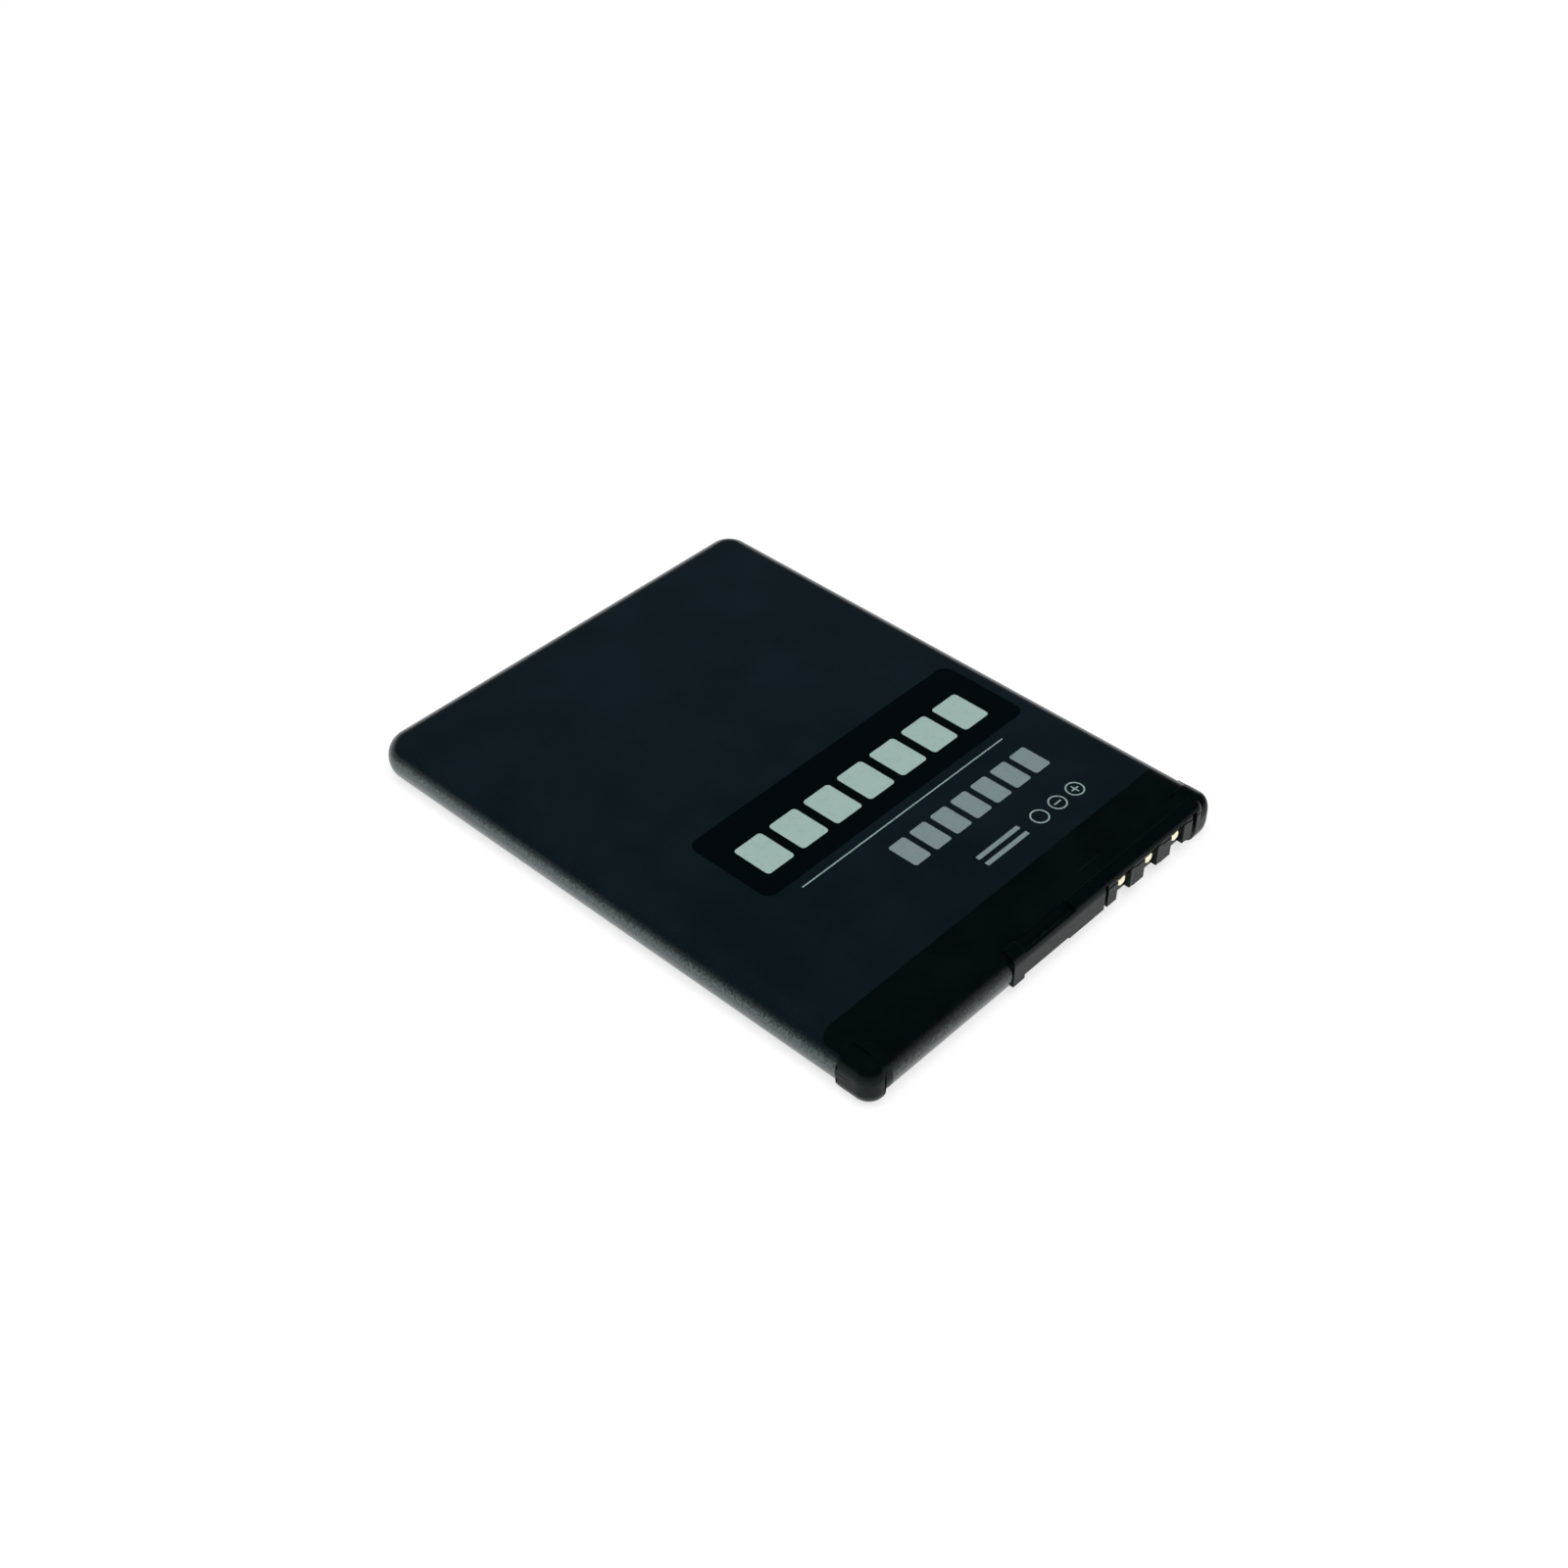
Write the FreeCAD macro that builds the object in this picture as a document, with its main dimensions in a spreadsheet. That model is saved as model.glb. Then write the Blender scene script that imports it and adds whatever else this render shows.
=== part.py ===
import FreeCAD, Part
import os
import re
import Sketcher
from FreeCAD import Vector

# Flat removable battery pack with a moulded end cap, in millimetres.
# X runs across the pack, Y along it to the contact end, Z out of the printed face.
# The origin is the middle of the pack's footprint, on the surface that it lies on.

doc = FreeCAD.newDocument("battery_pack")
sheet = doc.addObject("Spreadsheet::Sheet", "Sizes")

SIZES = {
    # whole pack
    "pack_width": 43.0,
    "pack_length": 55.7,
    "pack_thick": 4.2,
    "corner_radius": 2.5,
    "edge_round": 2.05,
    "rim_flat": 0.05,
    # wrapped films
    "film_thick": 0.1,
    "film_gap": 0.02,
    "side_setback": 0.08,
    "front_setback": 0.1,
    "band_depth": 5.75,
    "tongue_length": 2.2,
    "tongue_margin": 0.6,
    "film_corner": 0.9,
    "film_front_margin": 1.3,
    "recess_film_gap": 0.2,
    # end cap
    "cap_depth": 5.8,
    "cap_wall": 0.55,
    "cap_side_wall": 1.4,
    "cap_tape_thick": 0.1,
    "cap_tape_rim": 0.4,
    "boss_width": 11.62,
    "lug_width": 1.8,
    "bar_margin": 1.3,
    "bar_corner": 1.2,
    "bar_round": 1.1,
    "bar_underside": 1.28,
    "toe_length": 1.4,
    "toe_height": 0.2,
    "notch_width": 5.6,
    # contact pockets, of one pitch
    "contact_margin": 5.33,
    "pocket_pitch": 3.6,
    "pocket_width": 1.85,
    "pocket_depth": 0.58,
    "pocket_roof": 0.75,
    "block_round": 0.5,
    "web_step": 0.06,
    "web_drop": 1.05,
    "window_width": 1.7,
    "window_sill": 0.38,
    "window_drop": 0.9,
    "window_corner": 0.4,
    "contact_fit": 0.03,
    "contact_sink": 0.04,
    # slots in the end face
    "corner_slot_margin": 3.05,
    "corner_slot_width": 0.6,
    "rib_slot_step": 2.35,
    "rib_slot_width": 0.42,
    "slot_depth": 0.5,
    "slot_roof": 0.6,
    # finger recess in the boss
    "recess_margin": 1.4,
    "recess_width": 6.3,
    "recess_reach": 1.45,
    "recess_ramp": 0.8,
    "recess_depth": 0.9,
    "lip_rise": 0.36,
    "lip_thick": 0.4,
    "recess_corner": 0.7,
    # sealed cell
    "tail_cover_thick": 2.3,
    "tail_tape_thick": 0.1,
    "seam_depth": 0.12,
    "seam_width": 0.16,
    "seam_place": 0.7,
    # parts on the cell's lid
    "insulator_thick": 0.1,
    "insulator_fit": 0.15,
    "gasket_width": 4.4,
    "gasket_margin": 0.18,
    "gasket_thick": 0.3,
    "gasket_border": 0.45,
    "rivet_width": 3.2,
    "rivet_thick": 0.35,
    "rivet_corner": 0.5,
    "plug_radius": 0.8,
    "plug_thick": 0.3,
    "plug_margin": 10.5,
    "tab_margin": 6.9,
    "tab_width": 4.0,
    "tab_border": 0.33,
    "tab_thick": 0.15,
    # nickel strips
    "strip_thick": 0.12,
    "strip_border": 0.175,
    "strip_bend": 0.3,
    "strip_foot": 2.8,
    "strip_flange": 1.8,
    "cutoff_margin": 16.1,
    "cutoff_width": 3.8,
    "cutoff_border": 0.28,
    "cutoff_thick": 0.8,
    # protection board
    "board_margin": 2.2,
    "board_far_margin": 9.0,
    "board_thick": 0.6,
    "board_sill": 0.17,
    "board_drop": 0.7,
    "board_fit": 0.05,
    "chip_length": 2.9,
    "chip_border": 0.275,
    "chip_thick": 1.0,
    "chip_step": 2.45,
    "switch_length": 3.0,
    "switch_border": 0.225,
    "switch_thick": 0.75,
    "switch_step": 2.15,
    "lead_width": 0.3,
    "lead_pitch": 0.95,
    "lead_thick": 0.15,
    "small_length": 1.0,
    "small_height": 0.5,
    "small_thick": 0.35,
    "small_end": 0.22,
    "small_proud": 0.02,
    "small_pitch": 2.0,
    "small_margin": 1.7,
    "parts_gap": 0.3,
}

# Places worked out from the driving sizes
FACE = "(pack_length / 2)"
SIDE = "(pack_width / 2)"
WRAP_SIDE = f"({SIDE} - side_setback)"
WRAP_FRONT = f"({FACE} - front_setback)"
SKIN = "(film_thick + film_gap)"
LABEL_END = f"({FACE} - band_depth)"
TONGUE_END = f"({LABEL_END} + tongue_length)"
FILM_SIDE = f"({SIDE} - tongue_margin)"
FILM_FRONT = f"({FACE} - film_front_margin)"
CAP_REAR = f"({FACE} - cap_depth)"
LID = f"({CAP_REAR} - cap_tape_thick)"
CELL_TAIL = f"(-{FACE} + {SKIN} + tail_cover_thick + tail_tape_thick)"
MIDDLE = "(pack_thick / 2)"
OUTER_CONTACT = f"(-{SIDE} + contact_margin)"
INNER_CONTACT = f"({OUTER_CONTACT} + 2 * pocket_pitch)"
RIB_SLOT = f"({INNER_CONTACT} + rib_slot_step)"
CORNER_SLOT = f"(-{SIDE} + corner_slot_margin)"
BOSS_END = f"({RIB_SLOT} + boss_width)"
TOE_START = f"({BOSS_END} - toe_length)"
NOTCH_START = f"({TOE_START} - notch_width)"
RECESS_END = f"({BOSS_END} - recess_margin)"
RECESS_START = f"({RECESS_END} - recess_width)"
LUG_START = f"({SIDE} - lug_width)"
BAR_START = f"(-{SIDE} + bar_margin)"
CORNER_SIDE = f"({WRAP_SIDE} - corner_radius)"
CORNER_FRONT = f"({WRAP_FRONT} - corner_radius)"
POCKET_TOP = "(pack_thick - pocket_roof)"
WEB_LINE = "(pack_thick - web_drop)"
WINDOW_LOW = "(bar_underside + window_sill)"
WINDOW_HIGH = "(pack_thick - window_drop)"
SLOT_TOP = "(pack_thick - slot_roof)"
RECESS_FLOOR = "(pack_thick - recess_depth)"
LIP_TOP = f"({RECESS_FLOOR} + lip_rise)"
POCKET_FLOOR = f"({FACE} - pocket_depth)"
WALL_BACK = f"({POCKET_FLOOR} - cap_wall)"
BOARD_FRONT = f"({WALL_BACK} - contact_fit)"
BOARD_BACK = f"({BOARD_FRONT} - board_thick)"
BOARD_START = f"(-{SIDE} + board_margin)"
BOARD_END = f"({SIDE} - board_far_margin)"
BOARD_LOW = "(bar_underside + board_sill)"
BOARD_HIGH = "(pack_thick - board_drop)"
BOARD_MIDDLE = f"(({BOARD_LOW} + {BOARD_HIGH}) / 2)"
BOARD_HEIGHT = f"({BOARD_HIGH} - {BOARD_LOW})"
CAVITY_SIDE = f"({SIDE} - cap_side_wall)"
CAVITY_LOW = f"({SKIN} + cap_wall)"
CAVITY_HIGH = f"(pack_thick - {SKIN} - cap_wall)"
CAVITY_HEIGHT = f"({CAVITY_HIGH} - {CAVITY_LOW})"
GASKET_HEIGHT = f"({CAVITY_HEIGHT} - 2 * gasket_margin)"
TAB = f"(-{SIDE} + tab_margin)"
PLUG = f"({SIDE} - plug_margin)"
STRIP_WIDTH = f"({BOARD_HEIGHT} - 2 * strip_border)"
CUTOFF = f"({SIDE} - cutoff_margin)"
TAB_RISER = f"({TAB} + tab_width / 2)"
CUTOFF_RISER = f"({CUTOFF} + cutoff_width / 2 + strip_thick)"
PARTS_MIDDLE = f"(({TAB_RISER} + strip_flange + {CUTOFF_RISER} - strip_thick) / 2)"
CHIP = f"({PARTS_MIDDLE} - chip_step)"
SWITCH = f"({PARTS_MIDDLE} + switch_step)"
RIVET_TOP = f"({LID} + gasket_thick + rivet_thick)"
CUTOFF_TOP = f"({RIVET_TOP} + strip_thick + cutoff_thick)"
CLEAR = "(pack_thick + 1)"

# Roundings that their walls limit
EDGE_ROUND = "min(edge_round; pack_thick / 2 - rim_flat)"
BAR_LIMIT = "film_front_margin - film_gap - web_step"
BAR_CORNER = f"min(bar_corner; {BAR_LIMIT})"
BAR_ROUND = f"min(bar_round; {BAR_LIMIT})"
BLOCK_ROUND = "min(block_round; pocket_depth - web_step)"

LEAD_WAYS = (-1, 0, 1)
ORIGIN_ROLES = {"XY": "XY_Plane", "XZ": "XZ_Plane", "YZ": "YZ_Plane"}


def fill_sheet():
    """Writes each driving size into the sheet under its own name."""
    for row, (name, size) in enumerate(SIZES.items(), start=1):
        sheet.set(f"A{row}", name)
        sheet.set(f"B{row}", str(size))
        sheet.setAlias(f"B{row}", name)
    doc.recompute()


def linked(text):
    """Turns the size names in a formula into links to the sheet."""
    return re.sub(r"[a-z_]+", lambda word: f"Sizes.{word[0]}" if word[0] in SIZES else word[0], str(text))


def bind(thing, prop, text):
    thing.setExpression(prop, linked(text))


def amount(text):
    """The present value of a formula, for first places and for finding edges."""
    found = sheet.evalExpression(linked(text))
    return float(found)


def new_body(name):
    body = doc.addObject("PartDesign::Body", name)
    body.Label = name
    return body


def origin_plane(body, plane):
    return next(item for item in body.Origin.OriginFeatures if item.Role == ORIGIN_ROLES[plane])


def outline(body, plane, height, corners, arcs=None):
    """A closed sketch through corners, each a pair of formulas. arcs holds, for the stretch that
    starts at a corner, the arc's centre and whether it turns anticlockwise."""
    arcs = arcs or {}
    sketch = body.newObject("Sketcher::SketchObject", f"{body.Name}_outline")
    sketch.AttachmentSupport = (origin_plane(body, plane), [""])
    sketch.MapMode = "FlatFace"
    bind(sketch, "AttachmentOffset.Base.z", height)
    spots = [Vector(amount(across), amount(along), 0) for across, along in corners]
    count = len(spots)
    ends = []
    for index, spot in enumerate(spots):
        after = spots[(index + 1) % count]
        if index in arcs:
            middle = Vector(amount(arcs[index][0]), amount(arcs[index][1]), 0)
            turn = arcs[index][2]
            first, last = (spot, after) if turn else (after, spot)
            circle = Part.Circle(middle, Vector(0, 0, 1), (spot - middle).Length)
            arc = Part.ArcOfCircle(circle, circle.parameter(first), circle.parameter(last))
            sketch.addGeometry(arc, False)
            ends.append((1, 2) if turn else (2, 1))
        else:
            sketch.addGeometry(Part.LineSegment(spot, after), False)
            ends.append((1, 2))
    for index in range(count):
        after = (index + 1) % count
        meeting = Sketcher.Constraint("Coincident", index, ends[index][1], after, ends[after][0])
        sketch.addConstraint(meeting)
    for index, (across, along) in enumerate(corners):
        place_point(sketch, "DistanceX", index, ends[index][0], across)
        place_point(sketch, "DistanceY", index, ends[index][0], along)
    for index, (across, along, turn) in arcs.items():
        place_point(sketch, "DistanceX", index, 3, across)
    return sketch


def place_point(sketch, kind, item, point, formula):
    """Holds one point of a sketch at a distance from the sketch's origin."""
    number = sketch.addConstraint(Sketcher.Constraint(kind, item, point, amount(formula)))
    bind(sketch, f"Constraints[{number}]", formula)


def box_outline(body, plane, height, low, high):
    """A rectangular sketch from its low corner to its high corner."""
    return outline(body, plane, height, [low, (high[0], low[1]), high, (low[0], high[1])])


def pad(body, sketch, length):
    feature = body.newObject("PartDesign::Pad", f"{body.Name}_pad")
    feature.Profile = sketch
    bind(feature, "Length", length)
    sketch.Visibility = False
    doc.recompute()
    return feature


def edges_where(shape, test):
    return [f"Edge{number}" for number, edge in enumerate(shape.Edges, start=1) if test(edge)]


def near(first, second):
    return abs(first - second) < 1e-4


def runs_along(edge, axis):
    """Whether an edge is straight and lies along X, Y or Z."""
    if not isinstance(edge.Curve, Part.Line):
        return False
    way = edge.Vertexes[-1].Point - edge.Vertexes[0].Point
    return near(abs(way[axis]), way.Length)


def ease(body, kind, size, test):
    """A fillet or chamfer of the tip's edges that pass a test."""
    before = body.Tip
    edges = edges_where(before.Shape, test)
    if not edges:
        raise RuntimeError(f"{body.Label} has no edge to ease")
    feature = body.newObject(f"PartDesign::{kind}", f"{body.Name}_{kind.lower()}")
    feature.Base = (before, edges)
    bind(feature, "Radius" if kind == "Fillet" else "Size", size)
    body.Tip = feature
    doc.recompute()
    if feature.Shape.isNull():
        raise RuntimeError(f"{feature.Label} could not be made")
    return feature


def upright_at(x=None, y=None):
    """A test for upright edges at a place."""
    def test(edge):
        if not runs_along(edge, 2):
            return False
        spot = edge.Vertexes[0].Point
        return (x is None or near(spot.x, amount(x))) and (y is None or near(spot.y, amount(y)))
    return test


def level_at(*heights):
    """A test for edges that lie flat at one of some heights."""
    def test(edge):
        box = edge.BoundBox
        return near(box.ZMin, box.ZMax) and any(near(box.ZMin, amount(height)) for height in heights)
    return test


def combine(kind, name, base, tool):
    """The cut or the common part of two objects."""
    result = doc.addObject(f"Part::{kind}", name)
    result.Base = base
    result.Tool = tool
    result.Label = name
    doc.recompute()
    return result


def join(name, pieces):
    result = doc.addObject("Part::MultiFuse", name)
    result.Shapes = pieces
    result.Refine = True
    result.Label = name
    doc.recompute()
    return result


def block(name, low, high, corner=None):
    """A plain block between two corners, with its upright edges rounded if asked."""
    body = new_body(name)
    sketch = box_outline(body, "XY", low[2], low[:2], high[:2])
    pad(body, sketch, f"({high[2]}) - ({low[2]})")
    if corner:
        ease(body, "Fillet", corner, lambda edge: runs_along(edge, 2))
    return body


# The rounded forms that the films, the cell and the cap share

def pack_form(name, side, tail, front, low, inset):
    """A plate with rounded plan corners whose rim is turned over top and bottom."""
    body = new_body(name)
    sketch = box_outline(body, "XY", low, (f"-{side}", tail), (side, front))
    pad(body, sketch, f"pack_thick - 2 * {low}")
    ease(body, "Fillet", f"corner_radius - {inset}", lambda edge: runs_along(edge, 2))
    ease(body, "Fillet", f"{EDGE_ROUND} - {inset}", level_at(low, f"pack_thick - {low}"))
    return body


def make_forms():
    outer = pack_form("wrap_outside", WRAP_SIDE, f"-{FACE}", WRAP_FRONT, "0", "0")
    inner = pack_form("wrap_inside", f"({WRAP_SIDE} - film_thick)", f"(-{FACE} + film_thick)",
                      f"({WRAP_FRONT} - film_thick)", "film_thick", "film_thick")
    core = pack_form("core_form", f"({WRAP_SIDE} - {SKIN})", f"(-{FACE} + {SKIN})",
                     f"({WRAP_FRONT} - {SKIN})", SKIN, SKIN)
    rim = pack_form("rim_form", SIDE, f"-{FACE}", FACE, "0", "0")
    return outer, inner, core, rim


# Wrapped films

def make_film_zone(name, grow):
    """The plan of the end film: between the label's tongues, in from the corners, and out over
    the smooth stretch."""
    body = new_body(name)
    side = f"({FILM_SIDE} + {grow})"
    rear = f"({LABEL_END} - {grow})"
    corner = f"({CORNER_SIDE} + {grow})"
    corner_front = f"({CORNER_FRONT} + {grow})"
    front = f"({FILM_FRONT} + {grow})"
    out = f"({FACE} + 1)"
    stretch_start = f"({BOSS_END} - {grow})"
    sketch = outline(body, "XY", "-1", [
        (f"-{side}", rear), (side, rear), (side, corner_front), (corner, corner_front), (corner, out),
        (stretch_start, out), (stretch_start, front), (f"-{corner}", front), (f"-{corner}", corner_front),
        (f"-{side}", corner_front)])
    pad(body, sketch, "pack_thick + 2")
    ease(body, "Fillet", "film_corner", upright_at(y=rear))
    return body


def make_recess_tool(name, grow):
    """The finger recess: a ramp down from the top to a floor behind a low front lip."""
    body = new_body(name)
    rear = f"({FACE} - recess_reach - {grow})"
    foot = f"({FACE} - recess_reach + recess_ramp)"
    lip = f"({FACE} - lip_thick)"
    out = f"({FACE} + 1)"
    sketch = outline(body, "YZ", f"{RECESS_START} - {grow}", [
        (rear, CLEAR), (rear, f"pack_thick + {grow}"), (foot, RECESS_FLOOR), (lip, RECESS_FLOOR),
        (lip, LIP_TOP), (out, LIP_TOP), (out, CLEAR)])
    pad(body, sketch, f"recess_width + 2 * {grow}")
    ease(body, "Fillet", "recess_corner", upright_at(x=f"{RECESS_START} - {grow}", y=rear))
    return body


def make_label_wrap(outer, inner):
    zone = new_body("label_zone")
    side = FILM_SIDE
    far = f"({SIDE} + 1)"
    sketch = outline(zone, "XY", "-1", [
        (f"-{far}", f"(-{FACE} - 1)"), (far, f"(-{FACE} - 1)"), (far, TONGUE_END), (side, TONGUE_END),
        (side, LABEL_END), (f"-{side}", LABEL_END), (f"-{side}", TONGUE_END), (f"-{far}", TONGUE_END)])
    pad(zone, sketch, "pack_thick + 2")
    ease(zone, "Fillet", "film_corner", upright_at(y=LABEL_END))
    hollow = combine("Cut", "label_tube", outer, inner)
    return combine("Common", "label_wrap", hollow, zone)


def make_end_film(outer, inner):
    hollow = combine("Cut", "film_tube", outer, inner)
    sheet_part = combine("Common", "film_sheet", hollow, make_film_zone("film_zone", "0"))
    return combine("Cut", "end_film", sheet_part, make_recess_tool("film_recess", "recess_film_gap"))


# End cap

def make_contact_bar():
    """The straight bar along the end face that holds the boss and the contact blocks."""
    body = new_body("contact_bar")
    rear = f"({FILM_FRONT} + film_gap)"
    sketch = box_outline(body, "YZ", BAR_START, (rear, "bar_underside"), (FACE, "pack_thick"))
    pad(body, sketch, f"{BOSS_END} - {BAR_START}")
    ease(body, "Fillet", BAR_CORNER, upright_at(x=BAR_START, y=FACE))
    ease(body, "Fillet", BAR_ROUND,
         lambda edge: level_at("pack_thick")(edge) and near(edge.BoundBox.YMax, amount(FACE))
         and not runs_along(edge, 1))
    return body


def make_rim(outer, rim):
    """The part of the rounded rim that shows past the films: side strips, corners and corner lug.
    Beside the lug it stands back by as much as the film."""
    zone = new_body("rim_zone")
    far = f"({SIDE} + 1)"
    out = f"({FACE} + 1)"
    start = f"({TONGUE_END} + film_gap)"
    pad(zone, box_outline(zone, "XY", "-1", (f"-{far}", start), (far, out)), "pack_thick + 2")
    front = combine("Common", "rim_front", rim, zone)
    step = block("lug_step", (f"({CORNER_SIDE} - 1)", CORNER_FRONT, "-1"), (LUG_START, out, CLEAR))
    stepped = combine("Cut", "rim_stepped", front, step)
    beside = combine("Common", "lug_beside", outer, step)
    shown = join("rim_whole", [stepped, beside])
    return combine("Cut", "rim_shown", shown, make_film_zone("rim_film_seat", "film_gap"))


def make_core(core):
    """The part of the cap that lies under the films."""
    zone = new_body("core_zone")
    far = f"({SIDE} + 1)"
    out = f"({FACE} + 1)"
    pad(zone, box_outline(zone, "XY", "-1", (f"-{far}", CAP_REAR), (far, out)), "pack_thick + 2")
    return combine("Common", "cap_core", core, zone)


def make_pockets():
    """Three open-bottomed pockets. Each leaves the next block one well-rounded upright edge."""
    body = new_body("pocket_tool")
    near_side = f"({INNER_CONTACT} + pocket_width / 2)"
    far_side = f"({INNER_CONTACT} - pocket_width / 2)"
    out = f"({FACE} + 1)"
    sketch = outline(body, "XY", "-1", [
        (near_side, POCKET_FLOOR), (near_side, out), (f"({far_side} - {BLOCK_ROUND})", out),
        (f"({far_side} - {BLOCK_ROUND})", FACE), (far_side, f"({FACE} - {BLOCK_ROUND})"),
        (far_side, POCKET_FLOOR)],
        {3: (f"({far_side} - {BLOCK_ROUND})", f"({FACE} - {BLOCK_ROUND})", False)})
    pad(body, sketch, f"{POCKET_TOP} + 1")
    return repeat(body)


def make_windows():
    """The windows behind the pockets, through which the contacts show."""
    body = new_body("window_tool")
    sketch = box_outline(body, "XZ", f"-({FACE})", (f"{INNER_CONTACT} - window_width / 2", WINDOW_LOW),
                         (f"{INNER_CONTACT} + window_width / 2", WINDOW_HIGH))
    pad(body, sketch, f"{FACE} - {WALL_BACK} + film_gap")
    ease(body, "Fillet", "window_corner", lambda edge: runs_along(edge, 1))
    return repeat(body)


def repeat(body):
    """Three copies at the contacts' pitch."""
    originals = [item for item in body.Group if item.isDerivedFrom("PartDesign::Feature")]
    pattern = body.newObject("PartDesign::LinearPattern", f"{body.Name}_row")
    pattern.Originals = originals
    pattern.Direction = (next(item for item in body.Origin.OriginFeatures if item.Role == "X_Axis"), [""])
    pattern.Reversed = True
    pattern.Occurrences = 3
    bind(pattern, "Length", "2 * pocket_pitch")
    body.Tip = pattern
    doc.recompute()
    return body


def make_slot(name, place, width):
    body = new_body(name)
    sketch = box_outline(body, "XY", "-1", (f"{place} - {width} / 2", f"{FACE} - slot_depth"),
                         (f"{place} + {width} / 2", f"{FACE} + 1"))
    pad(body, sketch, f"{SLOT_TOP} + 1")
    return body


def make_end_cap(outer, core, rim):
    bar = make_contact_bar()
    toe_top = "(bar_underside + toe_height)"
    toe = block("boss_toe", (TOE_START, f"({FACE} - cap_wall)", "(bar_underside - toe_height)"),
                (BOSS_END, FACE, toe_top))
    solid = join("cap_solid", [make_core(core), make_rim(outer, rim), bar])
    out = f"({FACE} + 1)"
    rebate = block("bar_rebate", (BAR_START, WALL_BACK, "-1"), (BOSS_END, out, "bar_underside"))
    notch = block("bar_notch", (NOTCH_START, POCKET_FLOOR, "0"), (TOE_START, out, toe_top))
    cavity = block("cap_cavity", (f"-{CAVITY_SIDE}", f"({CAP_REAR} - 1)", CAVITY_LOW),
                   (CAVITY_SIDE, f"({BOARD_BACK} - board_fit)", CAVITY_HIGH), "window_corner")
    board_slot = block(
        "board_slot", (f"({BOARD_START} - board_fit)", f"({BOARD_BACK} - 1)", f"({BOARD_LOW} - board_fit)"),
        (f"({BOARD_END} + board_fit)", WALL_BACK, f"({BOARD_HIGH} + board_fit)"))
    web = block("web_relief", (f"{BAR_START} - 1", f"({FACE} - web_step)", WEB_LINE), (RIB_SLOT, out, CLEAR))
    tools = join("cap_tools", [
        rebate, notch, cavity, board_slot, web, make_pockets(), make_windows(),
        make_slot("corner_slot", CORNER_SLOT, "corner_slot_width"),
        make_slot("rib_slot", RIB_SLOT, "rib_slot_width"),
        make_recess_tool("cap_recess", "0")])
    shell = combine("Cut", "cap_shell", solid, tools)
    return join("end_cap", [shell, toe])


# Sealed cell

def make_cell(core):
    """The sealed can with its welded lid. The seam runs round just behind the lid face."""
    zone = new_body("cell_zone")
    far = f"({SIDE} + 1)"
    pad(zone, box_outline(zone, "XY", "-1", (f"-{far}", CELL_TAIL), (far, LID)), "pack_thick + 2")
    can = combine("Common", "cell_form", core, zone)
    return combine("Cut", "cell_can", can, make_seam_ring())


def make_seam_ring():
    """The weld groove in the lid face: a slot-shaped ring set in from the can's outline."""
    rings = []
    for name, inset in (("seam_outside", "seam_place"), ("seam_inside", "seam_place + seam_width")):
        reach = f"({WRAP_SIDE} - {SKIN} - ({inset}))"
        low = f"({SKIN} + {inset})"
        high = f"(pack_thick - {SKIN} - ({inset}))"
        ring = new_body(name)
        sketch = box_outline(ring, "XZ", f"-({LID} + 1)", (f"-{reach}", low), (reach, high))
        pad(ring, sketch, "seam_depth + 1")
        ease(ring, "Fillet", f"{EDGE_ROUND} - {SKIN} - ({inset})", lambda edge: runs_along(edge, 1))
        rings.append(ring)
    return combine("Cut", "seam_ring", rings[0], rings[1])


def make_tail_cover(core):
    """A moulded strip that closes the tail, with the pack's rounded rim."""
    zone = new_body("tail_zone")
    far = f"({SIDE} + 1)"
    pad(zone, box_outline(zone, "XY", "-1", (f"-{far}", f"(-{FACE} - 1)"),
                          (far, f"({CELL_TAIL} - tail_tape_thick)")), "pack_thick + 2")
    return combine("Common", "tail_cover", core, zone)


def plate(name, rear, front, middle, width, height, corner=None, centre=MIDDLE, kind="Fillet"):
    """A flat piece that lies on the cell's lid or on the board, between two places along Y."""
    body = new_body(name)
    low = (f"({middle}) - ({width}) / 2", f"{centre} - ({height}) / 2")
    high = (f"({middle}) + ({width}) / 2", f"{centre} + ({height}) / 2")
    pad(body, box_outline(body, "XZ", f"-({front})", low, high), f"({front}) - ({rear})")
    if corner:
        ease(body, kind, corner, lambda edge: runs_along(edge, 1))
    return body


def make_tapes(core):
    """The tape ring that holds the cap to the lid, and the tape that holds the tail cover."""
    rim_width = f"2 * ({CAVITY_SIDE} + cap_tape_rim)"
    rim_height = f"{CAVITY_HEIGHT} + cap_tape_rim"
    ring = plate("cap_tape_blank", LID, CAP_REAR, "0", rim_width, rim_height, "window_corner")
    hole = plate("cap_tape_hole", f"{LID} - 1", f"{CAP_REAR} + 1", "0", f"2 * {CAVITY_SIDE}", CAVITY_HEIGHT)
    cap_tape = combine("Common", "cap_tape", combine("Cut", "cap_tape_ring", ring, hole), core)
    tail_blank = plate("tail_tape_blank", f"{CELL_TAIL} - tail_tape_thick", CELL_TAIL, "0",
                       rim_width, rim_height)
    return [cap_tape, combine("Common", "tail_tape", tail_blank, core)]


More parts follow.
